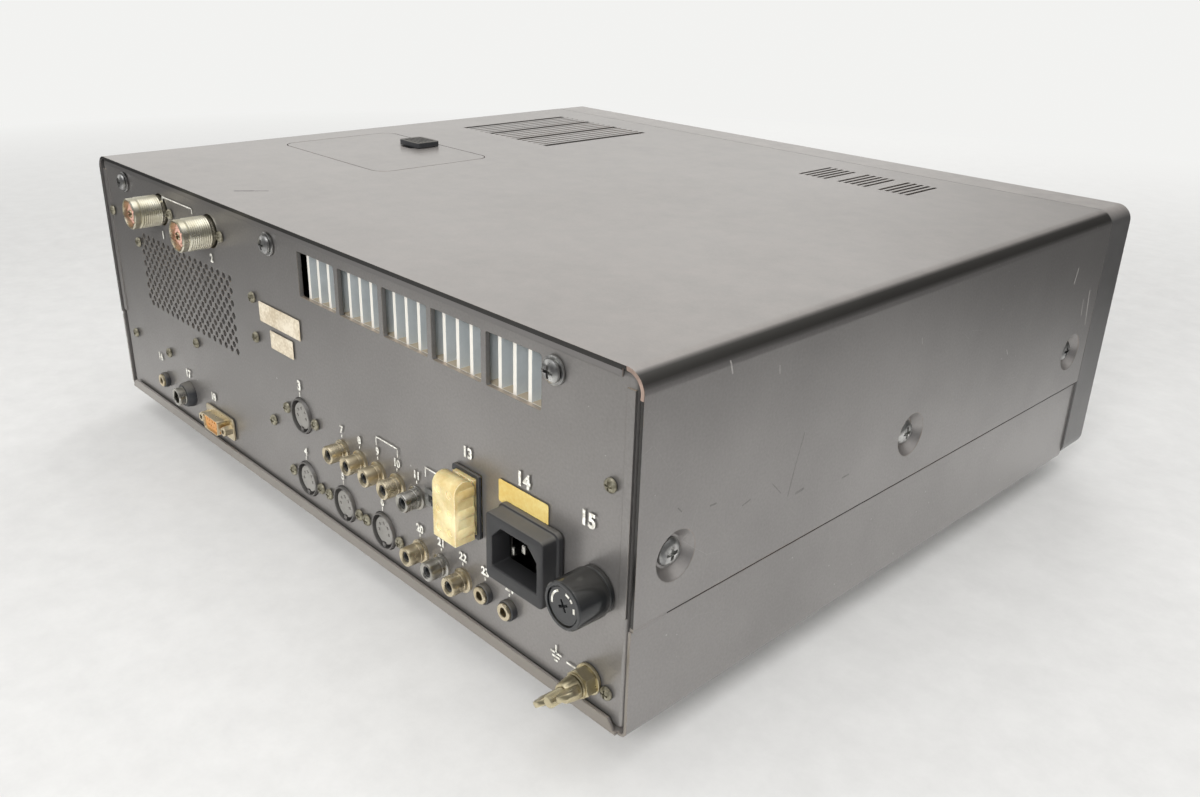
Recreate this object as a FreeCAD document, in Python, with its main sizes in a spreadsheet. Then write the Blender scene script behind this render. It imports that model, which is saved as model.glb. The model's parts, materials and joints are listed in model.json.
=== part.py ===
import FreeCAD, Part

import math
import os
import re

import Sketcher
from FreeCAD import Placement, Rotation, Vector

# A base-station transceiver: a folded steel case with a moulded front bezel, a rear panel full of sockets,
# a finned heat sink behind five windows, and the controls of a tuned receiver on the front.
#
# Frame, millimetres: +Z up, -Y the operator's side, +X to the operator's right.
# The origin is on the surface the feet stand on, below the middle of the whole set.

DOC = FreeCAD.newDocument("transceiver")
SHEET = DOC.addObject("Spreadsheet::Sheet", "Sizes")

SIZES = {
    # the case
    "case_width": 420,
    "case_height": 136,
    "foot_height": 14,
    "cover_depth": 335,
    "bezel_depth": 25,
    "rear_plane": 181,
    "sheet": 1.2,
    "cover_radius": 7.5,
    "seam_height": 45.5,
    "seam_gap": 1.4,
    "cover_overlap": 1,
    "hem_height": 2.8,
    "hem_gap": 0.2,
    # pressed cups that sink the side screws
    "cup_rim_radius": 9.5,
    "cup_floor_radius": 6.3,
    "cup_depth": 3.8,
    "cup_height": 66.5,
    # rear panel
    "panel_recess": 1,
    "panel_thickness": 2,
    "panel_half_width": 206,
    "flange_depth": 6,
    "strip_width": 3.6,
    "strip_proud": 0.6,
    "window_width": 29.6,
    "window_height": 20.2,
    "window_base": 107.6,
    "window_pitch": 32.25,
    "window_first": -18.8,
    "grille_left": 61.2,
    "grille_base": 62.5,
    "grille_pitch": 6.2,
    "grille_hole": 3.6,
    # speaker slots and vents in the top
    "slot_first": 91,
    "slot_run": 80,
    "slot_front": -129,
    "slot_length": 87,
    "vent_length": 30,
    "vent_front": -132,
    "vent_slot": 2,
    "vent_pitch": 4,
    "vent_step": 25.6,
    # access door
    "door_left": 80,
    "door_width": 103.6,
    "door_front": 9.4,
    "door_depth": 74,
    "door_sheet": 2,
    "door_radius": 8,
    "door_gap": 0.6,
    "hinge_setback": 11.4,
    "hinge_radius": 3,
    "knuckle_length": 8,
    "hinge_pin": 1.2,
    "well_floor": 126,
    # front
    "bezel_wall": 7,
    "bezel_radius": 8,
    "front_recess": 4,
    "front_sheet": 3,
    "fit_gap": 0.4,
    "shaft_radius": 3,
    "tube_radius": 4.6,
    "running_gap": 0.08,
    # heat sink
    "fin_count": 20,
    "fin_gap": 0.3,
    "fin_pitch": 8.05,
    "fin_thickness": 1.8,
}


def fill_sheet():
    """Write every driving size with its name as the cell's alias."""
    for row, (name, value) in enumerate(SIZES.items(), start=1):
        SHEET.set(f"A{row}", name)
        SHEET.set(f"B{row}", str(value))
        SHEET.setAlias(f"B{row}", name)
    DOC.recompute()


ALIAS = re.compile(r"\b(" + "|".join(SIZES) + r")\b")


def formula(text):
    """A sum of size names and numbers, as an expression that reads the sheet."""
    return ALIAS.sub(r"Sizes.\1", str(text))


def number(text):
    """The value that a sum of size names and numbers has now."""
    return float(SHEET.evalExpression(formula(text)))


def bind(thing, prop, text):
    """Bind a property to a sum of size names and numbers."""
    thing.setExpression(prop, formula(text))


# ---------------------------------------------------------------- sketches and features

DEPTH = Vector(0, 1, 0)
PLANES = {"XY": ("XY_Plane", 1), "XZ": ("XZ_Plane", -1), "YZ": ("YZ_Plane", 1)}
ORIGIN, VERTICAL_AXIS = -1, -2
START, END, CENTRE = 1, 2, 3


def new_body(label):
    """A body that becomes the node of the same name; it may hold separate solids."""
    body = DOC.addObject("PartDesign::Body", label)
    body.Label = label
    body.AllowCompound = True
    return body


def origin_feature(body, role):
    return next(f for f in body.Origin.OriginFeatures if f.Role == role)


def new_sketch(body, plane, level=0):
    """A sketch on one of the body's own planes, moved to the given coordinate along the third axis."""
    role, sign = PLANES[plane]
    sketch = body.newObject("Sketcher::SketchObject", body.Label + "_outline")
    sketch.AttachmentSupport = [(origin_feature(body, role), "")]
    sketch.MapMode = "FlatFace"
    bind(sketch, "AttachmentOffset.Base.z", f"{sign} * ({level})")
    return sketch


def pin_point(sketch, geometry, point, across, up):
    """Hold one point of a sketch at two distances from the sketch's origin."""
    for kind, text, axis in (("DistanceX", across, VERTICAL_AXIS), ("DistanceY", up, ORIGIN)):
        value = number(text)
        if value == 0:
            sketch.addConstraint(Sketcher.Constraint("PointOnObject", geometry, point, axis))
            continue
        index = sketch.addConstraint(Sketcher.Constraint(kind, ORIGIN, START, geometry, point, value))
        sketch.setExpression(f"Constraints[{index}]", formula(text))


def polygon(sketch, corners):
    """A closed outline through corners given as (across, up) sums."""
    spots = [Vector(number(a), number(b), 0) for a, b in corners]
    first = sketch.GeometryCount
    count = len(spots)
    for i in range(count):
        sketch.addGeometry(Part.LineSegment(spots[i], spots[(i + 1) % count]), False)
    for i in range(count):
        following = first + (i + 1) % count
        sketch.addConstraint(Sketcher.Constraint("Coincident", first + i, END, following, START))
        pin_point(sketch, first + i, START, *corners[i])


def rectangle(sketch, left, low, width, height):
    right, top = f"({left}) + ({width})", f"({low}) + ({height})"
    polygon(sketch, [(left, low), (right, low), (right, top), (left, top)])


def rounded(sketch, left, low, width, height, radius):
    """A rectangle with four equal round corners, each arc tangent to its two sides."""
    a, b, w, h, r = (number(v) for v in (left, low, width, height, radius))
    centres = [(a + w - r, b + r), (a + w - r, b + h - r), (a + r, b + h - r), (a + r, b + r)]
    starts = [(a + r, b), (a + w, b + r), (a + w - r, b + h), (a, b + h - r)]
    ends = [(a + w - r, b), (a + w, b + h - r), (a + r, b + h), (a, b + r)]
    first = sketch.GeometryCount
    for i in range(4):
        sketch.addGeometry(Part.LineSegment(Vector(*starts[i], 0), Vector(*ends[i], 0)), False)
        circle_shape = Part.Circle(Vector(*centres[i], 0), Vector(0, 0, 1), r)
        quarter = math.radians(90 * (i - 1))
        sketch.addGeometry(Part.ArcOfCircle(circle_shape, quarter, quarter + math.pi / 2), False)
    for i in range(4):
        line, arc, following = first + 2 * i, first + 2 * i + 1, first + (2 * i + 2) % 8
        sketch.addConstraint(Sketcher.Constraint("Tangent", line, END, arc, START))
        sketch.addConstraint(Sketcher.Constraint("Tangent", arc, END, following, START))
        sketch.addConstraint(Sketcher.Constraint("Horizontal" if i % 2 == 0 else "Vertical", line))
        if i:
            sketch.addConstraint(Sketcher.Constraint("Equal", first + 1, arc))
    index = sketch.addConstraint(Sketcher.Constraint("Radius", first + 1, r))
    sketch.setExpression(f"Constraints[{index}]", formula(radius))
    pin_point(sketch, first, START, f"({left}) + ({radius})", low)
    pin_point(sketch, first + 4, START, f"({left}) + ({width}) - ({radius})", f"({low}) + ({height})")


def circle(sketch, across, up, radius):
    value = number(radius)
    spot = Vector(number(across), number(up), 0)
    index = sketch.addGeometry(Part.Circle(spot, Vector(0, 0, 1), value), False)
    constraint = sketch.addConstraint(Sketcher.Constraint("Radius", index, value))
    sketch.setExpression(f"Constraints[{constraint}]", formula(radius))
    pin_point(sketch, index, CENTRE, across, up)


def hexagon(sketch, across, up, radius, turn=0):
    """A regular hexagon with its corners on a circle of the radius."""
    spots = []
    for i in range(6):
        angle = 60 * i + turn
        dx, dy = math.cos(math.radians(angle)), math.sin(math.radians(angle))
        spots.append((f"({across}) + ({radius}) * {dx:.4f}", f"({up}) + ({radius}) * {dy:.4f}"))
    polygon(sketch, spots)


def finish_feature(body, feature, sketch):
    sketch.Visibility = False
    body.Tip = feature
    return feature


def pad(body, sketch, length):
    """Add material from the sketch along its plane's normal: +Z, +X, or -Y for an XZ sketch."""
    feature = body.newObject("PartDesign::Pad", body.Label + "_pad")
    feature.Profile = sketch
    bind(feature, "Length", length)
    return finish_feature(body, feature, sketch)


def pocket(body, sketch, length):
    """Cut material from the sketch along the same direction as pad adds it."""
    feature = body.newObject("PartDesign::Pocket", body.Label + "_pocket")
    feature.Profile = sketch
    feature.Reversed = True
    bind(feature, "Length", length)
    return finish_feature(body, feature, sketch)


def revolve(body, sketch, cut=False):
    """A full turn of the sketch about its own vertical axis."""
    kind = "PartDesign::Groove" if cut else "PartDesign::Revolution"
    feature = body.newObject(kind, body.Label + "_turn")
    feature.Profile = sketch
    feature.ReferenceAxis = (sketch, ["V_Axis"])
    feature.Angle = 360
    return finish_feature(body, feature, sketch)


def pattern(body, original, sketch, axis, run, count):
    """Repeat a feature count times over a run along one axis of its sketch."""
    feature = body.newObject("PartDesign::LinearPattern", body.Label + "_row")
    feature.Originals = [original]
    feature.Direction = (sketch, [axis])
    bind(feature, "Length", run)
    bind(feature, "Occurrences", count)
    body.Tip = feature
    return feature


def edge_names(feature, test, along=None):
    """Names of the edges whose ends both pass the test and that run along a direction, if one is given."""
    DOC.recompute()
    names = []
    for index, edge in enumerate(feature.Shape.Edges, start=1):
        if len(edge.Vertexes) != 2 or not all(test(v.Point) for v in edge.Vertexes):
            continue
        first, last = (v.Point for v in edge.Vertexes)
        if along is None or (last - first).cross(along).Length < 0.01:
            names.append(f"Edge{index}")
    return names


def soften(body, feature, test, size, kind="Fillet", along=None):
    """Round or bevel the edges of a feature that pass the test."""
    names = edge_names(feature, test, along)
    if not names:
        raise RuntimeError(f"{body.Label}: no edges to {kind.lower()}")
    result = body.newObject("PartDesign::" + kind, body.Label + "_" + kind.lower())
    result.Base = (feature, names)
    bind(result, "Radius" if kind == "Fillet" else "Size", size)
    body.Tip = result
    return result


def near(a, b, slack=0.02):
    return abs(a - b) < slack


def place(thing, x, y, z, rotation=None):
    """Put a body at three sums of sizes, turned about its own origin."""
    if rotation is not None:
        thing.Placement = Placement(Vector(0, 0, 0), rotation)
    for axis, text in zip("xyz", (x, y, z)):
        bind(thing, f"Placement.Base.{axis}", text)


# A turned piece is drawn about +Z with its face at the top, then laid over to face the front or the rear.
FACE_FRONT = Rotation(Vector(1, 0, 0), 90)
FACE_REAR = Rotation(Vector(1, 0, 0), -90)


def turned(label, profile, x, y, z, rotation=None):
    """A round piece from half of its section, given as (radius, height) corners."""
    body = new_body(label)
    sketch = new_sketch(body, "XZ")
    polygon(sketch, profile)
    revolve(body, sketch)
    place(body, x, y, z, rotation)
    return body


# ---------------------------------------------------------------- levels shared by several pieces

TOP = "(foot_height + case_height)"
CASE_LEFT = "(-case_width / 2)"
COVER_FRONT = "(rear_plane - cover_depth)"
BEZEL_FRONT = "(rear_plane - cover_depth - bezel_depth)"
PANEL_FRONT = "(rear_plane - cover_depth - bezel_depth + front_recess)"
REAR_FACE = "(rear_plane - panel_recess)"
REAR_BACK = "(rear_plane - panel_recess - panel_thickness)"
UNDER_TOP = "(foot_height + case_height - sheet)"


def up(height):
    """A height above the underside of the case."""
    return f"(foot_height + {height})"


# Places on the rear panel: across, and above the underside of the case.
ANTENNA_PLACES = [(134.5, 119.4), (79.2, 119.4)]
DIN_PLACES = [(2.9, 49.1), (1.9, 17.2), (-30.3, 17.2), (-61.4, 17.2)]
PHONO_UPPER = [(x, 44.5) for x in (-31.8, -46.0, -60.0, -74.1, -88.1)]
PHONO_LOWER = [(x, 19.9) for x in (-88.8, -103.4, -117.6)]
JACK_PLACES = [(-131.6, 20.9), (-146.1, 20.9), (156.6, 18.9)]
KEY_PLACE = (126.5, 19.9)
DATA_PLACE = (90.3, 15.9)
SUPPLY_PLACE = (-122, 57.1)
SWITCH_PLACE = (-100.6, 48.1)
INLET_PLACE = (-159.3, 52.2)
FUSE_PLACE = (-192, 52.6)
GROUND_PLACE = (-190, 14.9)
LARGE_SCREWS = [(177.7, 126.4), (20.4, 125.7), (-169.5, 124.6)]
SIDE_SCREWS = ["rear_plane - 19", "rear_plane - 164", "rear_plane - 316"]
FRAME_TABS = [(199.4, 107), (197.8, 37), (-197.3, 94), (-198.8, 13.7)]

# Places on the front panel: across, and above the surface the set stands on.
TUNING_PLACE = (0, 62)
CHANNEL_PLACE = (84, 56)
CLARIFIER_PLACE = (184, 98)
GAIN_PLACE = (180, 50)
MIC_GAIN_PLACE = (136, 50)
POWER_BUTTON = (-184, 78)
FUNCTION_BUTTONS = [(-60, 84), (-82, 84), (-104, 84)]
MODE_BUTTONS = [(112 + 18 * i, 126) for i in range(5)]
MICROPHONE_PLACE = (-176, 44)
HEADPHONE_PLACE = (-140, 42)
DISPLAY = (-98, 104, 190, 32)
METER = (-190, 94, 78, 42)


# ---------------------------------------------------------------- case


def top_cover():
    """Folded steel: top and sides down to the seam, a hem at the rear, pressed cups, slots and a hatch."""
    body = new_body("top_cover")
    sketch = new_sketch(body, "XZ", "rear_plane")
    half = "case_width / 2"
    low = up("seam_height")
    polygon(sketch, [
        (f"-{half}", low), (f"-{half}", TOP), (half, TOP), (half, low),
        (f"{half} - sheet", low), (f"{half} - sheet", UNDER_TOP),
        (f"-{half} + sheet", UNDER_TOP), (f"-{half} + sheet", low),
    ])
    shell = pad(body, sketch, "cover_depth")
    top, edge = number(TOP), number(half)
    shell = soften(body, shell, lambda p: near(abs(p.x), edge) and near(p.z, top), "cover_radius",
                   along=DEPTH)
    inner = edge - number("sheet")
    shell = soften(body, shell, lambda p: near(abs(p.x), inner) and near(p.z, top - number("sheet")),
                   "cover_radius - sheet", along=DEPTH)

    hem = new_sketch(body, "XZ", "rear_plane")
    rectangle(hem, "-case_width / 2 + cover_radius + 2", f"{UNDER_TOP} - hem_height",
              "case_width - 2 * cover_radius - 4", "hem_height + 0.4")
    pad(body, hem, "panel_recess - hem_gap")

    for y in SIDE_SCREWS:
        cup(body, y)
    opening = new_sketch(body, "XY", "case_height - 4")
    rounded(opening, "door_left - door_gap", "door_front - door_gap", "door_width + 2 * door_gap",
            "door_depth + 2 * door_gap", "door_radius + door_gap")
    pocket(body, opening, "40")

    narrow = new_sketch(body, "XY", "case_height - 4")
    rectangle(narrow, "slot_first - 0.8", "slot_front", "1.6", "slot_length")
    pattern(body, pocket(body, narrow, "40"), narrow, "H_Axis", "slot_run", "16")
    wide = new_sketch(body, "XY", "case_height - 4")
    rectangle(wide, "slot_first - 2", "slot_front", "4", "slot_length")
    pattern(body, pocket(body, wide, "40"), wide, "H_Axis", "slot_run", "4")

    for vent in range(3):
        slot = new_sketch(body, "XY", "case_height - 4")
        rectangle(slot, f"-125 + {vent} * vent_step", "vent_front", "vent_slot", "vent_length")
        pattern(body, pocket(body, slot, "40"), slot, "H_Axis", "4 * vent_pitch", "5")
    return body


def cone(body, kind, x, y, z, base, tip, height, outward):
    """An additive or subtractive cone whose axis runs along X from a side of the case."""
    feature = body.newObject("PartDesign::" + kind, body.Label + "_cup")
    feature.AttachmentSupport = [(origin_feature(body, "YZ_Plane"), "")]
    feature.MapMode = "FlatFace"
    if outward < 0:
        feature.AttachmentOffset = Placement(Vector(0, 0, 0), Rotation(Vector(0, 1, 0), 180))
    bind(feature, "AttachmentOffset.Base.x", y)
    bind(feature, "AttachmentOffset.Base.y", z)
    bind(feature, "AttachmentOffset.Base.z", x)
    bind(feature, "Radius1", base)
    bind(feature, "Radius2", tip)
    bind(feature, "Height", height)
    body.Tip = feature
    return feature


def cup(body, y):
    """A dished seat for a side screw, pressed inwards on both sides at one place along the case."""
    height = up("cup_height")
    for side in (-1, 1):
        outer = f"{side} * case_width / 2"
        inner = f"{side} * (case_width / 2 - sheet)"
        cone(body, "AdditiveCone", inner, y, height, "cup_rim_radius + sheet", "cup_floor_radius + sheet",
             "cup_depth", -side)
        cone(body, "SubtractiveCone", outer, y, height, "cup_rim_radius", "cup_floor_radius", "cup_depth",
             -side)
    hole = new_sketch(body, "YZ", "-case_width / 2")
    circle(hole, y, height, "2.6")
    pocket(body, hole, "case_width")


def bottom_cover():
    """Folded steel tray with an upturned lip behind the rear panel and two groups of air slots."""
    body = new_body("bottom_cover")
    half = "(case_width / 2 - cover_overlap)"
    base = up(0)
    high = f"{up('seam_height')} - seam_gap"
    sketch = new_sketch(body, "XZ", "rear_plane")
    polygon(sketch, [
        (f"-{half}", high), (f"-{half}", base), (half, base), (half, high),
        (f"{half} - sheet", high), (f"{half} - sheet", f"{base} + sheet"),
        (f"-{half} + sheet", f"{base} + sheet"), (f"-{half} + sheet", high),
    ])
    shell = pad(body, sketch, "cover_depth")
    low, edge = number(base), number(half)
    shell = soften(body, shell, lambda p: near(abs(p.x), edge) and near(p.z, low), "3", along=DEPTH)
    inner = edge - number("sheet")
    soften(body, shell, lambda p: near(abs(p.x), inner) and near(p.z, low + number("sheet")), "3 - sheet",
           along=DEPTH)

    ledge = new_sketch(body, "XZ", "rear_plane + sheet")
    rectangle(ledge, "-panel_half_width + 1", base, "2 * panel_half_width - 2", "sheet")
    pad(body, ledge, "sheet + 1")
    lip = new_sketch(body, "XZ", "rear_plane + sheet")
    reach = "(panel_half_width - 1)"
    polygon(lip, [(f"-{reach}", base), (reach, base), (f"{reach} - 4", f"{base} + 5"),
                  (f"-{reach} + 4", f"{base} + 5")])
    pad(body, lip, "sheet")

    for start in ("-120", "48"):
        slot = new_sketch(body, "XY", "foot_height - 2")
        rectangle(slot, start, "-60", "3", "60")
        pattern(body, pocket(body, slot, "6"), slot, "H_Axis", "72", "10")
    return body


def rear_panel():
    """Flanged steel panel: five windows on the fins, a perforated grille and the cut-outs of every socket."""
    body = new_body("rear_panel")
    face = new_sketch(body, "XZ", REAR_FACE)
    low, high = f"{up(0)} + sheet + 0.4", f"{UNDER_TOP} - 1"
    rounded(face, "-panel_half_width", low, "2 * panel_half_width", f"({high}) - ({low})", "2")
    plate = pad(body, face, "panel_thickness + flange_depth")
    inside = new_sketch(body, "XZ", REAR_BACK)
    rounded(inside, "-panel_half_width + 1", f"{low} + 1", "2 * panel_half_width - 2",
            f"({high}) - ({low}) - 2", "1")
    tray = pocket(body, inside, "flange_depth + 1")
    level = number(REAR_FACE)
    soften(body, tray, lambda p: near(p.y, level), "1.5")

    window = new_sketch(body, "XZ", REAR_FACE)
    rounded(window, "window_first - 4 * window_pitch - window_width / 2", up("window_base"), "window_width",
            "window_height", "1")
    pattern(body, pocket(body, window, "panel_thickness + 1"), window, "H_Axis", "4 * window_pitch", "5")

    strips = new_sketch(body, "XZ", f"{REAR_FACE} + strip_proud")
    for left in ("-panel_half_width", "panel_half_width - strip_width"):
        rectangle(strips, left, f"{up('seam_height')} + 2", "strip_width", "case_height - seam_height - 9")
    pad(body, strips, "strip_proud + 0.4")

    column = new_sketch(body, "XZ", REAR_FACE)
    rows, columns = 7, 17
    for row in range(rows):
        hexagon(column, "grille_left + 2", f"{up('grille_base')} + {row} * grille_pitch", "grille_hole / 2")
    for row in range(rows - 1):
        hexagon(column, "grille_left + 2 + grille_pitch / 2",
                f"{up('grille_base')} + ({row} + 0.5) * grille_pitch", "grille_hole / 2")
    pattern(body, pocket(body, column, "panel_thickness + 1"), column, "H_Axis",
            f"{columns - 1} * grille_pitch", columns)

    cuts = new_sketch(body, "XZ", REAR_FACE)
    for x, z in ANTENNA_PLACES:
        circle(cuts, x, up(z), "8.2")
    for x, z in DIN_PLACES:
        circle(cuts, x, up(z), "8.7")
    for x, z in PHONO_UPPER + PHONO_LOWER:
        circle(cuts, x, up(z), "3.6")
    for x, z in JACK_PLACES:
        circle(cuts, x, up(z), "3.1")
    circle(cuts, KEY_PLACE[0], up(KEY_PLACE[1]), "5.1")
    circle(cuts, FUSE_PLACE[0], up(FUSE_PLACE[1]), "6.6")
    circle(cuts, GROUND_PLACE[0], up(GROUND_PLACE[1]), "2.7")
    for centre, width, height in ((DATA_PLACE, 20, 10), (SUPPLY_PLACE, 15.4, 26.4), (SWITCH_PLACE, 10, 5),
                                  (INLET_PLACE, 28.4, 24.4)):
        rectangle(cuts, f"{centre[0]} - {width / 2}", f"{up(centre[1])} - {height / 2}", width, height)
    pocket(body, cuts, "panel_thickness + 1")
    return body


def chassis_frame():
    """Welded frame: two side plates, a shelf at the seam, a front plate and tabs for the rear screws."""
    body = new_body("chassis_frame")
    outer, plate = 204.8, 1.6
    low, high = "foot_height + 5", f"{UNDER_TOP} - 4"
    for left in (-outer, outer - plate):
        side = new_sketch(body, "XY", low)
        rectangle(side, left, f"{COVER_FRONT} + 1", plate, "cover_depth - 6")
        pad(body, side, f"({high}) - ({low})")
    shelf = new_sketch(body, "XY", up("seam_height + 2"))
    rectangle(shelf, -outer + 1, f"{COVER_FRONT} + 1", 2 * (outer - 1), "cover_depth - 45")
    pad(body, shelf, plate)
    front = new_sketch(body, "XZ", f"{COVER_FRONT} + 1 + {plate}")
    rectangle(front, -outer + 1, low, 2 * (outer - 1), f"({high}) - ({low})")
    rectangle(front, -192, "foot_height + 14", 384, "case_height - 30")
    pad(body, front, plate)
    for x, z in FRAME_TABS:
        tab = new_sketch(body, "XZ", f"{REAR_BACK} - 0.1")
        width = 9
        left = outer - width - 0.5 if x > 0 else -outer + 0.5
        rectangle(tab, left, up(z) + " - 5", width, 10)
        pad(body, tab, plate)
        arm = new_sketch(body, "XZ", f"{REAR_BACK} - 0.1")
        rectangle(arm, outer - plate if x > 0 else -outer, up(z) + " - 5", plate, 10)
        pad(body, arm, 12)
    screws = new_sketch(body, "YZ", -outer - 1)
    for y in SIDE_SCREWS:
        circle(screws, y, up("cup_height"), "2.2")
    pocket(body, screws, 2 * outer + 2)
    return body


def front_bezel():
    """Moulded frame round the front panel, with round corners and a softened front edge."""
    body = new_body("front_bezel")
    ring = new_sketch(body, "XZ", f"{COVER_FRONT} - fit_gap")
    rounded(ring, CASE_LEFT, up(0), "case_width", "case_height", "bezel_radius")
    rounded(ring, f"{CASE_LEFT} + bezel_wall", up("bezel_wall"), "case_width - 2 * bezel_wall",
            "case_height - 2 * bezel_wall", "bezel_radius - 5")
    frame = pad(body, ring, "bezel_depth - fit_gap")
    front, limit = number(BEZEL_FRONT), number("case_width / 2 - bezel_wall") + 1
    low, high = number(up("bezel_wall")) - 1, number(TOP) - number("bezel_wall") + 1

    def outer_front(p):
        return near(p.y, front) and (abs(p.x) > limit or p.z < low or p.z > high)

    soften(body, frame, outer_front, "2")
    return body


def control_places():
    """Every shaft through the front panel: across, up, and the radius of its clearance hole."""
    return [(*TUNING_PLACE, 5.4), (*CHANNEL_PLACE, 5.4), (*CLARIFIER_PLACE, 5.4),
            (*GAIN_PLACE, 6.4), (*MIC_GAIN_PLACE, 6.4)]


def front_panel():
    """Aluminium panel with openings for the meter, the display, the shafts, the buttons and two sockets."""
    body = new_body("front_panel")
    face = new_sketch(body, "XZ", f"{PANEL_FRONT} + front_sheet")
    rounded(face, f"{CASE_LEFT} + bezel_wall + fit_gap", up("bezel_wall + fit_gap"),
            "case_width - 2 * bezel_wall - 2 * fit_gap",
            "case_height - 2 * bezel_wall - 2 * fit_gap", "2.6")
    pad(body, face, "front_sheet")
    cuts = new_sketch(body, "XZ", f"{PANEL_FRONT} + front_sheet + 1")
    for x, z, radius in control_places():
        circle(cuts, x, z, radius)
    circle(cuts, *MICROPHONE_PLACE, "8.3")
    circle(cuts, *HEADPHONE_PLACE, "4.7")
    for left, low, width, height in (DISPLAY, METER):
        rectangle(cuts, left, low, width, height)
    for (x, z), width, height in button_sizes():
        rectangle(cuts, f"{x - width / 2} - fit_gap", f"{z - height / 2} - fit_gap", f"{width} + 2 * fit_gap",
                  f"{height} + 2 * fit_gap")
    pocket(body, cuts, "front_sheet + 2")
    return body


def button_sizes():
    """Every push button's place, width and height."""
    return ([(POWER_BUTTON, 18, 12)] + [(place_, 16, 8) for place_ in FUNCTION_BUTTONS]
            + [(place_, 14, 9) for place_ in MODE_BUTTONS])


# ---------------------------------------------------------------- front pieces


def button(label, centre, width, height, proud):
    """A push button: a cap with softened edges on a stem, and a collar behind the panel to keep it in."""
    body = new_body(label)
    x, z = centre
    cap = new_sketch(body, "XZ", f"{PANEL_FRONT} + front_sheet + 2")
    rectangle(cap, x - width / 2, z - height / 2, width, height)
    block = pad(body, cap, f"front_sheet + 2 + {proud}")
    front = number(PANEL_FRONT) - proud
    soften(body, block, lambda p: near(p.y, front), "0.8")
    collar = new_sketch(body, "XZ", f"{PANEL_FRONT} + front_sheet + 2")
    rectangle(collar, x - width / 2 - 1, z - height / 2 - 1, width + 2, height + 2)
    pad(body, collar, "1.4")
    stem = new_sketch(body, "XZ", f"{PANEL_FRONT} + front_sheet + 8")
    rectangle(stem, x - 2, z - 2, 4, 4)
    pad(body, stem, "6.2")
    return body


def buttons():
    names = ["power_button"] + [f"function_button_{i + 1}" for i in range(3)]
    names += [f"mode_button_{i + 1}" for i in range(5)]
    return [button(name, centre, width, height, 4 if name == "power_button" else 3)
            for name, (centre, width, height) in zip(names, button_sizes())]


def knob_base():
    """How far in front of the panel every knob starts."""
    return f"{PANEL_FRONT} - 1"


def tuning_knob():
    """Large tuning knob: a skirt, a waisted grip and a finger dimple near its rim, with its own shaft."""
    body = turned("tuning_knob", [
        (0, -10), ("shaft_radius", -10), ("shaft_radius", 0), (31, 0), (31, 3), (28, 5.5), (26.5, 9),
        (26.5, 24), (25, 26), (20, 26), (19, 25), (0, 25),
    ], TUNING_PLACE[0], f"{knob_base()}", TUNING_PLACE[1], FACE_FRONT)
    dimple = new_sketch(body, "XZ")
    polygon(dimple, [(0, 21.5), (5.5, 22), (7.2, 25.5), (7.2, 30), (0, 30)])
    dimple.AttachmentOffset = Placement(Vector(-10, 0, 0), Rotation())
    feature = revolve(body, dimple, cut=True)
    feature.ReferenceAxis = (dimple, ["V_Axis"])
    return body


def small_knob(label, centre, radius, height, shaft, foot="0", dip="-8"):
    """A turned knob with a bevelled top and a pointer groove across it, on its own shaft."""
    body = turned(label, [
        (0, dip), (shaft, dip), (shaft, foot), (radius, foot), (radius, f"{height} - 1.5"),
        (f"{radius} - 1.2", height), (0, height),
    ], centre[0], knob_base(), centre[1], FACE_FRONT)
    mark = new_sketch(body, "XY", f"{height} - 1")
    rectangle(mark, -0.6, 1, 1.2, radius)
    pocket(body, mark, 2)
    return body


def ring_knob(label, centre, radius, height):
    """The outer knob of a concentric pair: a ring on a tube that turns round the inner shaft."""
    body = turned(label, [
        ("shaft_radius + 0.3", -7), ("tube_radius", -7), ("tube_radius", 0), (radius, 0),
        (radius, f"{height} - 1.2"), (f"{radius} - 1", height), ("shaft_radius + 0.3", height),
    ], centre[0], knob_base(), centre[1], FACE_FRONT)
    mark = new_sketch(body, "XY", f"{height} - 0.8")
    rectangle(mark, -0.6, radius - 3, 1.2, 4)
    pocket(body, mark, 2)
    return body


def knobs():
    ring_height = 7
    pieces = [tuning_knob(),
              small_knob("channel_knob", CHANNEL_PLACE, 17, 20, "shaft_radius"),
              small_knob("clarifier_knob", CLARIFIER_PLACE, 8, 14, "shaft_radius")]
    for inner, outer, centre in (("af_gain_knob", "rf_gain_ring", GAIN_PLACE),
                                 ("mic_gain_knob", "power_ring", MIC_GAIN_PLACE)):
        pieces.append(small_knob(inner, centre, 8.5, 18, "shaft_radius", foot=ring_height + 0.6, dip="-9"))
        pieces.append(ring_knob(outer, centre, 14, ring_height))
    return pieces


def shaft_bushings():
    """The round bodies behind the panel that carry the knob shafts, each with a bush through the panel."""
    body = new_body("shaft_bushings")
    back = f"{PANEL_FRONT} + front_sheet + 0.2"
    cans = new_sketch(body, "XZ", f"{back} + 12")
    bushes = new_sketch(body, "XZ", back)
    for x, z, hole in control_places():
        circle(cans, x, z, 10)
        circle(bushes, x, z, f"{hole} - 0.2")
    pad(body, cans, 12)
    pad(body, bushes, "front_sheet + 0.5")
    for shafts, radius, depth in ((control_places()[:3], "shaft_radius + running_gap", 11),
                                  (control_places()[3:], "tube_radius + running_gap", 8.5),
                                  (control_places()[3:], "shaft_radius + running_gap", 11)):
        bores = new_sketch(body, "XZ", f"{PANEL_FRONT} + {depth}")
        for x, z, hole in shafts:
            circle(bores, x, z, radius)
        pocket(body, bores, depth + 2)
    return body


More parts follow.
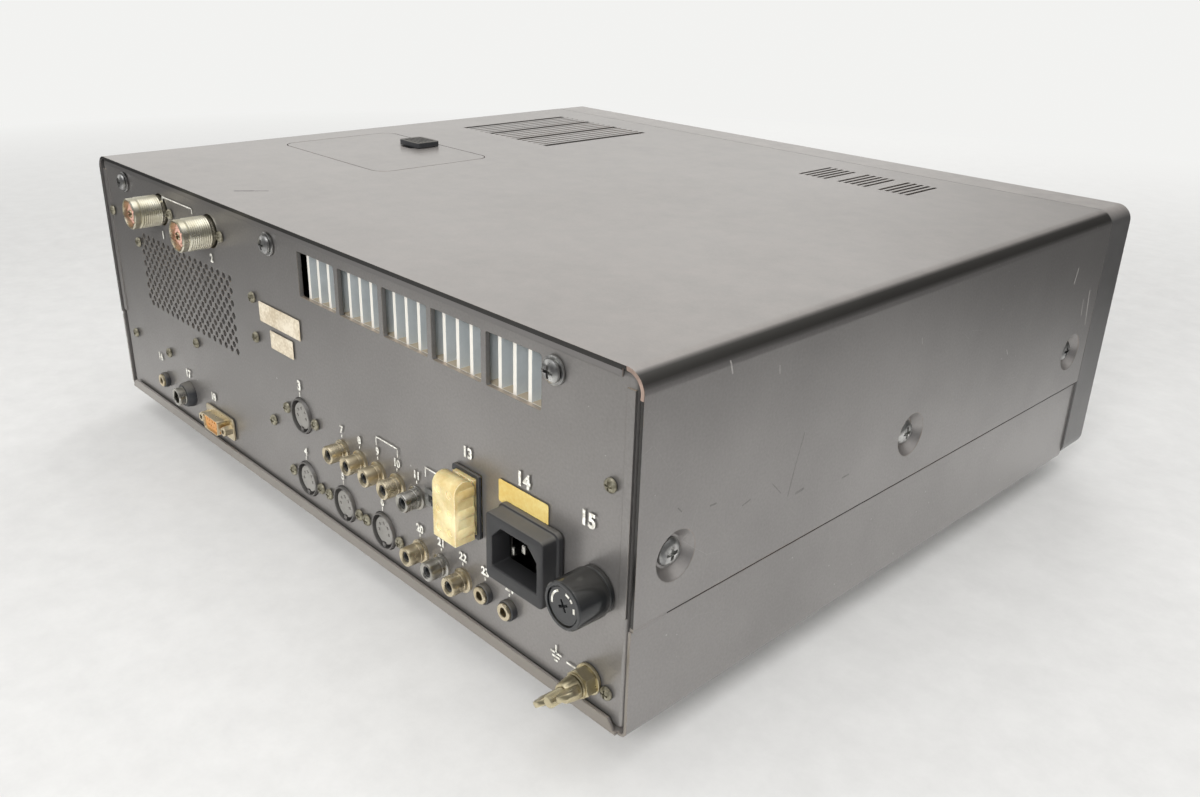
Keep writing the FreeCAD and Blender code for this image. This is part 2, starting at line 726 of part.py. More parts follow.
def front_glass():
    """The smoked display window and the clear meter window, flush in the front panel."""
    pieces = []
    for label, (left, low, width, height) in (("display_window", DISPLAY), ("meter_window", METER)):
        body = new_body(label)
        sheet = new_sketch(body, "XZ", f"{PANEL_FRONT} + 2")
        rectangle(sheet, left + 0.15, low + 0.15, width - 0.3, height - 0.3)
        pad(body, sheet, 2)
        pieces.append(body)
    return pieces


def display_module():
    """The display tube on its board, behind the smoked window."""
    body = new_body("display_module")
    left, low, width, height = DISPLAY
    board = new_sketch(body, "XZ", f"{PANEL_FRONT} + front_sheet + 11")
    rectangle(board, left - 3, low - 3, width + 6, height + 6)
    pad(body, board, 1.6)
    tube = new_sketch(body, "XZ", f"{PANEL_FRONT} + front_sheet + 9.4")
    rectangle(tube, left + 3, low + 3, width - 6, height - 6)
    glass = pad(body, tube, 7)
    front = number(PANEL_FRONT) + number("front_sheet") + 2.4
    soften(body, glass, lambda p: near(p.y, front), "0.8", "Chamfer")
    return body


def meter_case():
    """An open-fronted meter housing with its scale plate and the pivot that carries the needle."""
    body = new_body("meter_case")
    left, low, width, height = METER
    depth = 20
    block = new_sketch(body, "XZ", f"{PANEL_FRONT} + {depth}")
    rectangle(block, left - 2, low - 2, width + 4, height + 4)
    pad(body, block, f"{depth} - front_sheet - 0.1")
    hollow = new_sketch(body, "XZ", f"{PANEL_FRONT} + 9")
    rectangle(hollow, left, low, width, height)
    pocket(body, hollow, 8)
    pivot = new_sketch(body, "XZ", f"{PANEL_FRONT} + 9.5")
    circle(pivot, left + width / 2, low + 6, 1)
    pad(body, pivot, 3)
    return body


NEEDLE_TILT = 40


def meter_needle():
    """A thin pointer on a hub, drawn upright and laid over to its stop at the left."""
    body = new_body("meter_needle")
    left, low, width, height = METER
    hub = new_sketch(body, "XZ", 0)
    circle(hub, 0, 0, 3)
    pad(body, hub, 1.6)
    pointer = new_sketch(body, "XZ", -0.5)
    polygon(pointer, [(-0.6, 1), (0.6, 1), (0.3, 30), (-0.3, 30)])
    pad(body, pointer, 0.6)
    bore = new_sketch(body, "XZ", 1)
    circle(bore, 0, 0, "1 + running_gap")
    pocket(body, bore, 4)
    place(body, left + width / 2, f"{PANEL_FRONT} + 8.4", low + 6, Rotation(Vector(0, 1, 0), -NEEDLE_TILT))
    return body


def front_sockets():
    """The microphone socket and the headphone socket."""
    microphone = new_body("microphone_socket")
    x, z = MICROPHONE_PLACE
    steps = (("front_sheet + 12", "12 + front_sheet + 6", 8), ("0", "1.2", 10.5))
    for start, length, radius in steps:
        sketch = new_sketch(microphone, "XZ", f"{PANEL_FRONT} + {start}")
        circle(sketch, x, z, radius)
        pad(microphone, sketch, length)
    face = new_sketch(microphone, "XZ", f"{PANEL_FRONT} - 2.4")
    circle(face, x, z, 6.8)
    pocket(microphone, face, 6)
    key = new_sketch(microphone, "XZ", f"{PANEL_FRONT} - 2.2")
    circle(key, x, z, 5.6)
    pad(microphone, key, 2.4)

    headphone = new_body("headphone_socket")
    x, z = HEADPHONE_PLACE
    block = new_sketch(headphone, "XZ", f"{PANEL_FRONT} + front_sheet + 26")
    rectangle(block, x - 7, z - 7, 14, 14)
    pad(headphone, block, 25.8)
    neck = new_sketch(headphone, "XZ", f"{PANEL_FRONT} + front_sheet + 1")
    circle(neck, x, z, 4.5)
    pad(headphone, neck, "front_sheet + 3")
    nut = new_sketch(headphone, "XZ", PANEL_FRONT)
    hexagon(nut, x, z, 7)
    pad(headphone, nut, 1.8)
    bore = new_sketch(headphone, "XZ", f"{PANEL_FRONT} + front_sheet + 22")
    circle(bore, x, z, 3.2)
    pocket(headphone, bore, 40)
    return [microphone, headphone]


# ---------------------------------------------------------------- rear pieces


def antenna_sockets():
    """Two screw-on coaxial sockets: a barrel on a square flange behind the panel, round an insulator."""
    body = new_body("antenna_sockets")
    proud = 16
    for x, z in ANTENNA_PLACES:
        flange = new_sketch(body, "XZ", f"{REAR_BACK} - 0.1")
        rectangle(flange, x - 15.5, f"{up(z)} - 9", 31, 18)
        pad(body, flange, 1.6)
    barrel = new_sketch(body, "XZ", f"{REAR_FACE} + {proud}")
    for x, z in ANTENNA_PLACES:
        circle(barrel, x, up(z), 7.95)
    pad(body, barrel, proud)
    neck = new_sketch(body, "XZ", REAR_FACE)
    for x, z in ANTENNA_PLACES:
        circle(neck, x, up(z), 7.5)
    pad(body, neck, "panel_thickness + 8")
    mouth = new_sketch(body, "XZ", f"{REAR_FACE} + {proud} + 1")
    for x, z in ANTENNA_PLACES:
        circle(mouth, x, up(z), 6.7)
    pocket(body, mouth, 4.9)
    contact = new_sketch(body, "XZ", f"{REAR_FACE} + {proud} + 1")
    for x, z in ANTENNA_PLACES:
        circle(contact, x, up(z), 2)
    pocket(body, contact, 15)
    return body


def din_sockets():
    """Four round multi-pin sockets on oval flanges behind the panel."""
    body = new_body("din_sockets")
    for x, z in DIN_PLACES:
        flange = new_sketch(body, "XZ", f"{REAR_BACK} - 0.1")
        rounded(flange, x - 15.4, f"{up(z)} - 8.9", 30.8, 17.8, 3)
        pad(body, flange, 1.2)
    sleeve = new_sketch(body, "XZ", f"{REAR_FACE} + 1")
    for x, z in DIN_PLACES:
        circle(sleeve, x, up(z), 8.5)
    pad(body, sleeve, "panel_thickness + 11")
    mouth = new_sketch(body, "XZ", f"{REAR_FACE} + 2")
    for x, z in DIN_PLACES:
        circle(mouth, x, up(z), 7.6)
    pocket(body, mouth, 4.5)
    core = new_sketch(body, "XZ", f"{REAR_FACE} + 0.2")
    for x, z in DIN_PLACES:
        circle(core, x, up(z), 5.6)
    pad(body, core, 3.2)
    return body


def phono_jacks():
    """Eight phono jacks: a washer, a plain barrel and the centre contact's hole."""
    body = new_body("phono_jacks")
    places = PHONO_UPPER + PHONO_LOWER
    for start, length, radius in ((8, 7.5, 4.15), (1, 1, 5.2), (0.5, "panel_thickness + 6", 3.4)):
        sketch = new_sketch(body, "XZ", f"{REAR_FACE} + {start}")
        for x, z in places:
            circle(sketch, x, up(z), radius)
        pad(body, sketch, length)
    for start, length, radius in ((9, 1.6, 3.3), (9, 10, 1.65)):
        sketch = new_sketch(body, "XZ", f"{REAR_FACE} + {start}")
        for x, z in places:
            circle(sketch, x, up(z), radius)
        pocket(body, sketch, length)
    return body


def jack_sockets():
    """Three miniature jacks with ring nuts, and the larger key jack on its stepped base."""
    body = new_body("jack_sockets")
    for start, length, radius in ((2.2, 2.2, 4.2), (3.4, "3.4 + panel_thickness + 7", 2.9)):
        sketch = new_sketch(body, "XZ", f"{REAR_FACE} + {start}")
        for x, z in JACK_PLACES:
            circle(sketch, x, up(z), radius)
        pad(body, sketch, length)
    x, z = KEY_PLACE
    for start, length, radius in ((4, 4, 7), (8, "8 + panel_thickness + 10", 4.9)):
        sketch = new_sketch(body, "XZ", f"{REAR_FACE} + {start}")
        circle(sketch, x, up(z), radius)
        pad(body, sketch, length)
    bores = new_sketch(body, "XZ", f"{REAR_FACE} + 4")
    for x, z in JACK_PLACES:
        circle(bores, x, up(z), 1.8)
    pocket(body, bores, 12)
    bore = new_sketch(body, "XZ", f"{REAR_FACE} + 9")
    circle(bore, KEY_PLACE[0], up(KEY_PLACE[1]), 3.2)
    pocket(body, bore, 26)
    return body


def data_socket():
    """A nine-way D socket: flange, shell with slanted ends, and two hexagonal posts."""
    body = new_body("data_socket")
    x, z = DATA_PLACE
    height = up(z)
    flange = new_sketch(body, "XZ", f"{REAR_FACE} + 1")
    rounded(flange, x - 15.4, f"{height} - 6.2", 30.8, 12.4, 1.5)
    pad(body, flange, 1)
    back = new_sketch(body, "XZ", f"{REAR_FACE} + 0.2")
    rectangle(back, x - 9.5, f"{height} - 4.5", 19, 9)
    pad(body, back, "panel_thickness + 10")
    shell = new_sketch(body, "XZ", f"{REAR_FACE} + 6.5")
    polygon(shell, [(x - 8.6, f"{height} + 4.2"), (x - 7.7, f"{height} - 4.2"), (x + 7.7, f"{height} - 4.2"),
                    (x + 8.6, f"{height} + 4.2")])
    pad(body, shell, 6)
    mouth = new_sketch(body, "XZ", f"{REAR_FACE} + 7")
    polygon(mouth, [(x - 8, f"{height} + 3.6"), (x - 7.1, f"{height} - 3.6"), (x + 7.1, f"{height} - 3.6"),
                    (x + 8, f"{height} + 3.6")])
    pocket(body, mouth, 1.5)
    posts = new_sketch(body, "XZ", f"{REAR_FACE} + 6")
    for side in (-12.5, 12.5):
        hexagon(posts, x + side, height, 2.7, turn=30)
    pad(body, posts, 5.5)
    return body


def power_inlet():
    """Three-pole mains inlet: a stepped body and a recess with its two upper corners cut off."""
    body = new_body("power_inlet")
    x, z = INLET_PLACE
    height = up(z)
    for start, length, width, tall, radius in ((2.5, 2.5, 33, 29, 3), (9, 7, 31, 27, 2.5),
                                               (0.5, "panel_thickness + 22", 28, 24, 1)):
        sketch = new_sketch(body, "XZ", f"{REAR_FACE} + {start}")
        rounded(sketch, x - width / 2, f"{height} - {tall / 2}", width, tall, radius)
        pad(body, sketch, length)
    recess = new_sketch(body, "XZ", f"{REAR_FACE} + 10")
    left, right = x - 12.2, x + 12.2
    low, high = f"{height} - 8", f"{height} + 9.2"
    polygon(recess, [(left, low), (right, low), (right, f"{high} - 5"), (right - 5, high), (left + 5, high),
                     (left, f"{high} - 5")])
    pocket(body, recess, 18)
    return body


def inlet_pins():
    """The inlet's three flat pins; the earth pin stands higher and a little longer."""
    body = new_body("inlet_pins")
    x, z = INLET_PLACE
    for across, rise, reach in ((-7, -1.8, 4.2), (7, -1.8, 4.2), (0, 2.2, 5)):
        pin = new_sketch(body, "XZ", f"{REAR_FACE} + {reach}")
        rectangle(pin, x + across - 1, f"{up(z)} + {rise} - 2", 2, 4)
        pad(body, pin, f"{reach} + 8")
    return body


def fuse_holder():
    """The fixed half of the fuse holder: a collar on the panel and the barrel behind it."""
    body = new_body("fuse_holder")
    x, z = FUSE_PLACE
    for start, length, radius in ((2, 2, 8.8), (0.5, "panel_thickness + 30", 6.4)):
        sketch = new_sketch(body, "XZ", f"{REAR_FACE} + {start}")
        circle(sketch, x, up(z), radius)
        pad(body, sketch, length)
    return body


def fuse_cap():
    """The quarter-turn cap: a deep round cap with a sunk face and a cross slot for a driver."""
    body = turned("fuse_cap", [
        (0, 2.4), (9.25, 2.4), (9.25, 14.7), (8.5, 15.5), (7.4, 15.5), (7.4, 14.7), (0, 14.7),
    ], FUSE_PLACE[0], REAR_FACE, up(FUSE_PLACE[1]), FACE_REAR)
    slot = new_sketch(body, "XY", 13)
    rectangle(slot, -3.4, -0.7, 6.8, 1.4)
    pocket(body, slot, 3)
    cross = new_sketch(body, "XY", 13)
    rectangle(cross, -0.7, -3.4, 1.4, 6.8)
    pocket(body, cross, 3)
    return body


def ground_post():
    """The earth terminal: a stud with a broad washer, a hexagon nut and a small washer."""
    body = new_body("ground_post")
    x, z = GROUND_PLACE
    height = up(z)
    for start, length, radius in ((1.2, 1.2, 6), (7, 1, 4.8), (19.5, "19.5 + panel_thickness + 8", 2.5)):
        sketch = new_sketch(body, "XZ", f"{REAR_FACE} + {start}")
        circle(sketch, x, height, radius)
        pad(body, sketch, length)
    nut = new_sketch(body, "XZ", f"{REAR_FACE} + 6")
    hexagon(nut, x, height, 5.8, turn=12)
    pad(body, nut, 4.8)
    return body


WING_TILT = 38


def wing_nut():
    """A wing nut: a tapered hub and two flat ears that lean outwards, laid over as it was left."""
    body = turned("wing_nut", [
        ("2.5 + running_gap", 7.4), (5, 7.4), (4, 14), ("2.5 + running_gap", 14),
    ], GROUND_PLACE[0], REAR_FACE, up(GROUND_PLACE[1]),
        Rotation(Vector(0, 1, 0), WING_TILT).multiply(FACE_REAR))
    for side in (-1, 1):
        ear = new_sketch(body, "XZ", 1.1)
        polygon(ear, [(side * 3, 8.2), (side * 7.5, 9.4), (side * 13.2, 20.4), (side * 12, 22.8),
                      (side * 9, 22.4), (side * 4.6, 13.4), (side * 3, 13)])
        pad(body, ear, 2.2)
    return body


def supply_connector():
    """The low-voltage supply socket and the link plug pushed into it."""
    x, z = SUPPLY_PLACE
    height = up(z)
    socket = new_body("supply_socket")
    for start, length, width, tall in ((1.8, 1.8, 17.4, 28.4), (0.5, "panel_thickness + 14", 15, 26)):
        sketch = new_sketch(socket, "XZ", f"{REAR_FACE} + {start}")
        rectangle(sketch, x - width / 2, f"{height} - {tall / 2}", width, tall)
        pad(socket, sketch, length)
    cavity = new_sketch(socket, "XZ", f"{REAR_FACE} + 3")
    rectangle(cavity, x - 6.5, f"{height} - 12", 13, 24)
    pocket(socket, cavity, 13)

    plug = new_body("supply_plug")
    block = new_sketch(plug, "XZ", f"{REAR_FACE} + 11.5")
    rounded(block, x - 7.5, f"{height} - 13", 15, 26, 0.8)
    pad(plug, block, 9.2)
    neck = new_sketch(plug, "XZ", f"{REAR_FACE} + 3")
    rectangle(neck, x - 6.1, f"{height} - 11.6", 12.2, 23.2)
    pad(plug, neck, 10)
    grooves = new_sketch(plug, "XZ", f"{REAR_FACE} + 12")
    for rise in (-8, 0, 8):
        for side in (-7.6, 6.9):
            rectangle(grooves, x + side, f"{height} + {rise} - 1.3", 0.7, 2.6)
    pocket(plug, grooves, 7)
    ways = new_sketch(plug, "XZ", f"{REAR_FACE} + 12")
    for across in (-3.2, 3.2):
        for rise in (-8, 0, 8):
            rectangle(ways, x + across - 1.8, f"{height} + {rise} - 1.8", 3.6, 3.6)
    pocket(plug, ways, 2.5)
    return [socket, plug]


def slide_switch():
    """A small slide switch: its slotted plate and box, and the lever that moves across."""
    x, z = SWITCH_PLACE
    height = up(z)
    frame = new_body("switch_frame")
    plate = new_sketch(frame, "XZ", f"{REAR_FACE} + 0.8")
    rectangle(plate, x - 6.5, f"{height} - 3.8", 13, 7.6)
    pad(frame, plate, 0.8)
    box = new_sketch(frame, "XZ", f"{REAR_FACE} + 0.1")
    rectangle(box, x - 4.9, f"{height} - 2.4", 9.8, 4.8)
    pad(frame, box, "panel_thickness + 7")
    slot = new_sketch(frame, "XZ", f"{REAR_FACE} + 2")
    rectangle(slot, x - 3.9, f"{height} - 1.6", 7.8, 3.2)
    pocket(frame, slot, 6)
    lever = new_body("switch_lever")
    tab = new_sketch(lever, "XZ", f"{REAR_FACE} + 3.2")
    rectangle(tab, x - 3.5, f"{height} - 1.2", 3.2, 2.4)
    pad(lever, tab, 6.6)
    return [frame, lever]


def panel_screws():
    """The three large screws of the rear panel, each on a washer."""
    body = new_body("panel_screws")
    washers = new_sketch(body, "XZ", f"{REAR_FACE} + 0.8")
    heads = new_sketch(body, "XZ", f"{REAR_FACE} + 3.2")
    for x, z in LARGE_SCREWS:
        circle(washers, x, up(z), 5.2)
        circle(heads, x, up(z), 4.2)
    pad(body, washers, 0.8)
    pad(body, heads, 2.6)
    return body


def cover_screws():
    """Six round-headed screws in the cups of the top cover, three on each side."""
    body = new_body("cover_screws")
    floor = "(case_width / 2 - cup_depth)"
    for side in (-1, 1):
        heads = new_sketch(body, "YZ", f"{floor}" if side > 0 else f"-{floor} - 2.4")
        shanks = new_sketch(body, "YZ", f"{floor} - 9" if side > 0 else f"-{floor} - 0.5")
        for y in SIDE_SCREWS:
            circle(heads, y, up("cup_height"), 5.3)
            circle(shanks, y, up("cup_height"), 2)
        pad(body, heads, 2.4)
        pad(body, shanks, 9.5)
    return body


# ---------------------------------------------------------------- hatch in the top


def control_well():
    """The tray under the hatch, with bores for the hinge pins and a ledge for the hatch's front edge."""
    body = new_body("control_well")
    left, right = "(door_left - 3.2)", "(door_left + door_width + 3.2)"
    front, rear = "(door_front - 4)", "(door_front + door_depth + 3.4)"
    block = new_sketch(body, "XY", "well_floor - 1.6")
    rectangle(block, left, front, f"{right} - {left}", f"{rear} - {front}")
    pad(body, block, f"{UNDER_TOP} - 0.1 - well_floor + 1.6")
    hollow = new_sketch(body, "XY", "well_floor")
    rectangle(hollow, f"{left} + 2.4", f"{front} + 2.4", f"{right} - {left} - 4.8",
              f"{rear} - {front} - 4.8")
    pocket(body, hollow, "40")
    ledge = new_sketch(body, "XY", "well_floor - 0.5")
    rectangle(ledge, f"{left} + 2", f"{front} + 2", f"{right} - {left} - 4", "4")
    pad(body, ledge, f"{TOP} - door_sheet - 0.1 - well_floor + 0.5")
    bore = new_sketch(body, "YZ", f"{left} - 1")
    circle(bore, HINGE_Y, HINGE_Z, "hinge_pin + running_gap")
    pocket(body, bore, f"{right} - {left} + 2")
    return body


HINGE_Y = "(door_front + door_depth - hinge_setback)"
HINGE_Z = "(foot_height + case_height - hinge_radius)"


def access_door():
    """The hatch: a flush plate with a knuckle at each side, on one rod into the walls of the well."""
    body = new_body("access_door")
    plate = new_sketch(body, "XY", f"{TOP} - door_sheet")
    rounded(plate, "door_left", "door_front", "door_width", "door_depth", "door_radius")
    pad(body, plate, "door_sheet")
    for start in ("door_left", "door_left + door_width - knuckle_length"):
        knuckle = new_sketch(body, "YZ", start)
        circle(knuckle, HINGE_Y, HINGE_Z, "hinge_radius")
        pad(body, knuckle, "knuckle_length")
    pins = new_sketch(body, "YZ", "door_left - 2.8")
    circle(pins, HINGE_Y, HINGE_Z, "hinge_pin")
    pad(body, pins, "door_width + 5.6")
    slot = new_sketch(body, "XY", f"{TOP} - door_sheet - 1")
    rectangle(slot, "door_left + 48.6", "door_front + 6", 10.8, 15)
    pocket(body, slot, "door_sheet + 2")
    return body


def door_latch():
    """The finger slide of the hatch: a ribbed pad above, a neck through the slot and a keeper below."""
    body = new_body("door_latch")
    middle = "(door_left + 54)"
    pad_top = new_sketch(body, "XY", f"{TOP} + 0.3")
    rounded(pad_top, f"{middle} - 10", "door_front + 3", 20, 16, 1.5)
    block = pad(body, pad_top, 3)
    top = number(TOP) + 3.3
    soften(body, block, lambda p: near(p.z, top), "0.8", "Chamfer")
    neck = new_sketch(body, "XY", f"{TOP} - door_sheet - 0.5")
    rectangle(neck, f"{middle} - 5", "door_front + 6.4", 10, 10)
    pad(body, neck, "door_sheet + 1")
    keeper = new_sketch(body, "XY", f"{TOP} - door_sheet - 2.3")
    rectangle(keeper, f"{middle} - 8", "door_front + 4.8", 16, 13)
    pad(body, keeper, 2)
    return body


def trimmers():
    """Two preset controls on the floor of the well, each with a driver slot."""
    pieces = []
    for i, x in enumerate((104, 126)):
        body = turned(f"preset_knob_{i + 1}", [(0, 0.4), (5, 0.4), (5, 8.2), (4.2, 9), (0, 9)],
                      x, 50, "well_floor")
        slot = new_sketch(body, "XY", 7.8)
        rectangle(slot, -0.6, -3.6, 1.2, 7.2)
        pocket(body, slot, 2)
        pieces.append(body)
    return pieces


# ---------------------------------------------------------------- inside


def heat_sink():
    """An extruded sink: a base plate and a row of upright fins that end just inside the rear windows."""
    body = new_body("heat_sink")
    rear = f"{REAR_BACK} - fin_gap"
    depth = 56
    left = "(window_first - 4 * window_pitch - window_width / 2 - 1.1)"
    width = "((fin_count - 1) * fin_pitch + fin_thickness + 1.2)"
    base = new_sketch(body, "XZ", rear)
    rectangle(base, left, f"{up('window_base')} - 5", width, 5)
    pad(body, base, depth)
    fin = new_sketch(body, "XZ", rear)
    rectangle(fin, f"{left} + 0.6", f"{up('window_base')} - 1", "fin_thickness", "window_height + 2.6")
    pattern(body, pad(body, fin, depth), fin, "H_Axis", "(fin_count - 1) * fin_pitch", "fin_count")
    return body


def fan():
    """The fan in front of the fins: a square frame with a spider, and the five-bladed rotor on its pin."""
    x, z, front, deep = -78, 110, 92, 16
    frame = new_body("fan_frame")
    outline = new_sketch(frame, "XZ", front + deep)
    rounded(outline, x - 30, z - 30, 60, 60, 3)
    circle(outline, x, z, 28)
    pad(frame, outline, deep)
    hub = new_sketch(frame, "XZ", front + deep)
    circle(hub, x, z, 10)
    pad(frame, hub, 2)
    struts = new_sketch(frame, "XZ", front + deep)
    rectangle(struts, x - 28.5, z - 1.2, 57, 2.4)
    pad(frame, struts, 2)
    pin = new_sketch(frame, "XZ", front + deep - 1)
    circle(pin, x, z, 1.5)
    pad(frame, pin, deep - 3)

    rotor = new_body("fan_rotor")
    disc = new_sketch(rotor, "XY", 0)
    circle(disc, 0, 0, 10)
    pad(rotor, disc, 11)
    blade = new_sketch(rotor, "XZ", -9.5)
    polygon(blade, [(-5, 1.2), (-3.8, 1.2), (5, 9.8), (3.8, 9.8)])
    single = pad(rotor, blade, 17)
    ring = rotor.newObject("PartDesign::PolarPattern", "fan_rotor_blades")
    ring.Originals = [single]
    ring.Axis = (disc, ["N_Axis"])
    ring.Angle = 360
    ring.Occurrences = 5
    rotor.Tip = ring
    bore = new_sketch(rotor, "XY", -1)
    circle(bore, 0, 0, "1.5 + running_gap")
    pocket(rotor, bore, 13)
    place(rotor, x, front + deep - 2.8, z, FACE_FRONT)
    return [frame, rotor]


def speaker():
    """The loudspeaker under the top slots: rim, cone basket and magnet, turned about one axis."""
    return turned("speaker", [
        (0, 112), (22, 112), (22, 124), (16, 128), (39, 146), (39, 148.2), (35, 148.2), (12, 133), (0, 133),
    ], "slot_first + slot_run / 2", "slot_front + slot_length / 2", 0)


def power_transformer():
    """The mains transformer on the shelf: a laminated core round a wound bobbin."""
    body = new_body("power_transformer")
    base = up("seam_height + 3.8")
    core = new_sketch(body, "XY", base)
    rectangle(core, -198, 20, 66, 28)
    pad(body, core, 55)
    coil = new_sketch(body, "XY", f"{base} + 9")
    rounded(coil, -187, 8, 44, 52, 6)
    pad(body, coil, 37)
    return body


def main_board():
    """The main circuit board below the shelf, with the screening cans of its stages."""
    body = new_body("main_board")
    level = "foot_height + 22"
    board = new_sketch(body, "XY", level)
    rectangle(board, -150, -130, 320, 250)
    pad(body, board, 1.6)
    cans = new_sketch(body, "XY", f"{level} + 1.5")
    for left, low, width, depth in ((-140, -110, 70, 60), (-50, -100, 60, 90), (40, -115, 110, 50),
                                    (50, 20, 90, 70)):
        rectangle(cans, left, low, width, depth)
    pad(body, cans, 17)
    return body


# ---------------------------------------------------------------- feet and stand

FOOT_X, FOOT_REAR, FOOT_FRONT, BAIL_Z = 165, 150, -125, 8


def feet():
    """Four tapered rubber feet; the front pair is bored for the ends of the wire stand."""
    body = new_body("feet")
    for x in (-FOOT_X, FOOT_X):
        for y in (FOOT_REAR, FOOT_FRONT):
            foot = body.newObject("PartDesign::AdditiveCone", "foot")
            foot.AttachmentSupport = [(origin_feature(body, "XY_Plane"), "")]
            foot.MapMode = "FlatFace"
            foot.AttachmentOffset = Placement(Vector(x, y, 0), Rotation())
            foot.Radius1 = 12.5
            foot.Radius2 = 15
            bind(foot, "Height", "foot_height - 0.05")
            body.Tip = foot
    bore = new_sketch(body, "YZ", -FOOT_X)
    circle(bore, FOOT_FRONT, BAIL_Z, "2.5 + running_gap")
    pocket(body, bore, 2 * FOOT_X)
    return body


def tilt_stand():
    """The wire stand folded under the case: two arms, a crossbar, and ends that turn in the front feet."""
    body = new_body("tilt_stand")
    bend, arm_x, bar_y, end_x = 7, 138, FOOT_FRONT + 56, FOOT_X - 3
    path = new_sketch(body, "XY", BAIL_Z)
    route = [(end_x, FOOT_FRONT), (arm_x, FOOT_FRONT), (arm_x, bar_y), (-arm_x, bar_y), (-arm_x, FOOT_FRONT),
             (-end_x, FOOT_FRONT)]
    spots = [Vector(*spot, 0) for spot in route]
    start = spots[0]
    for before, corner, after in zip(spots, spots[1:], spots[2:]):
        arrive = corner + (before - corner).normalize() * bend
        leave = corner + (after - corner).normalize() * bend
        centre = arrive + leave - corner
        middle = centre + (corner - centre).normalize() * bend
        path.addGeometry(Part.LineSegment(start, arrive), False)
        path.addGeometry(Part.Arc(arrive, middle, leave), False)
        start = leave
    path.addGeometry(Part.LineSegment(start, spots[-1]), False)
    section = new_sketch(body, "YZ", end_x)
    circle(section, FOOT_FRONT, BAIL_Z, 2.5)
    wire = body.newObject("PartDesign::AdditivePipe", "tilt_stand_wire")
    wire.Profile = section
    wire.Spine = path
    path.Visibility = False
    finish_feature(body, wire, section)
    return body


# ---------------------------------------------------------------- build and export


def flat(pieces):
    for piece in pieces:
        if isinstance(piece, list):
            yield from piece
        else:
            yield piece


def check(thing):
    """Stop if a piece failed, is empty or is invalid."""
    if "Invalid" in thing.State or "Error" in thing.State:
        raise RuntimeError(f"{thing.Label} failed: {thing.State}")
    if thing.isDerivedFrom("PartDesign::Body") and (thing.Shape.isNull() or not thing.Shape.isValid()):
        raise RuntimeError(f"{thing.Label} has no valid shape")


def main():
    os.makedirs("parts", exist_ok=True)
    fill_sheet()
    makers = [top_cover, bottom_cover, rear_panel, chassis_frame, front_bezel, front_panel, buttons, knobs,
              shaft_bushings, front_glass, display_module, meter_case, meter_needle, front_sockets,
              antenna_sockets, din_sockets, phono_jacks, jack_sockets, data_socket, power_inlet, inlet_pins,
              fuse_holder, fuse_cap, ground_post, wing_nut, supply_connector, slide_switch, panel_screws,
              cover_screws, control_well, access_door, door_latch, trimmers, heat_sink, fan, speaker,
              power_transformer, main_board, feet, tilt_stand]
    pieces = list(flat(maker() for maker in makers))
    DOC.recompute()
    for thing in DOC.Objects:
        check(thing)
    for piece in pieces:
        shape = piece.Shape
        print(f"{piece.Label:20s} solids {len(shape.Solids):3d}  volume {shape.Volume / 1000:8.2f} cm3")
        shape.exportStep(f"parts/{piece.Label}.step")
    print(len(pieces), "nodes")


if __name__ == "__main__":
    main()
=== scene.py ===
"""The looks of a base-station transceiver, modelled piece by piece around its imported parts."""

import json
from math import atan2, cos, degrees, radians, sin, tau

import bmesh
import bpy
from bpy.props import FloatProperty, FloatVectorProperty, IntProperty, PointerProperty
from mathutils import Matrix, Vector


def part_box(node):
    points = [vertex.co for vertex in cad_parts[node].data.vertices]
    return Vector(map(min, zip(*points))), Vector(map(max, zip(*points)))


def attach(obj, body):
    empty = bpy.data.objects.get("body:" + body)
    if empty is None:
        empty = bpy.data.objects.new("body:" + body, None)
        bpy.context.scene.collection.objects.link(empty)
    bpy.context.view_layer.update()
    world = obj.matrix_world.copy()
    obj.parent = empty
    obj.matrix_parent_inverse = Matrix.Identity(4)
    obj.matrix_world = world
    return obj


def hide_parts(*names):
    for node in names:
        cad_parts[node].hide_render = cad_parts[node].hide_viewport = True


bl_info = {
    "name": "Transceiver Looks",
    "version": (1, 0, 0),
    "blender": (4, 5, 0),
    "location": "3D View > Sidebar > Transceiver",
    "description": "Models the sockets, knobs, fittings and finishes of a base-station transceiver",
    "category": "Object",
}

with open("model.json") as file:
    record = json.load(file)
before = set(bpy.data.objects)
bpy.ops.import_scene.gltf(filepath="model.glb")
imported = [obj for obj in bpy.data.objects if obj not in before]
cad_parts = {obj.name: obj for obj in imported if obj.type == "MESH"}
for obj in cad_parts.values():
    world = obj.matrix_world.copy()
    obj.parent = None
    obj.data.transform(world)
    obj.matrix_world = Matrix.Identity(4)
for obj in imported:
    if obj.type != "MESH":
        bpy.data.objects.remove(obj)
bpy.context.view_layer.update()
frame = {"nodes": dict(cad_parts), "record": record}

MM = 0.001
REAR_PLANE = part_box("rear_panel")[1].y
PANEL_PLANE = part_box("front_panel")[0].y
KNOB_PLANE = PANEL_PLANE - 1 * MM
CASE_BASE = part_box("bottom_cover")[0].z
CASE_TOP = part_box("top_cover")[1].z

STEEP = 0.9  # the part along an axis above which an edge or a face is taken to lie that way
SMOOTH_BELOW = 32  # degrees between faces up to which they are shaded as one
SUNK = 0.45  # share of the print depth that the middle of a printed mark stands above the surface
SENSOR = 36  # width of the camera's sensor in millimetres
FLUTE_DEPTH = 0.5  # millimetres
FLOOR_SIZE, WALL_HEIGHT, BEND = 6, 3, 1.2  # metres
REARWARD, UPWARD = (0, 1, 0), (0, 0, 1)
TURNED_TO = 0.89, 0.98  # from where to where a face counts as turned to a direction
ROUGH_SPREAD = 0.05  # how far a finish's roughness wanders to either side
DUSTY = 0.85  # roughness of dust
# Pale dust, partly painted light: it brightens the faces turned up beyond what dust alone would.
PALE_DUST_AND_TOP_LIGHT = (0.8, 0.74, 0.69)

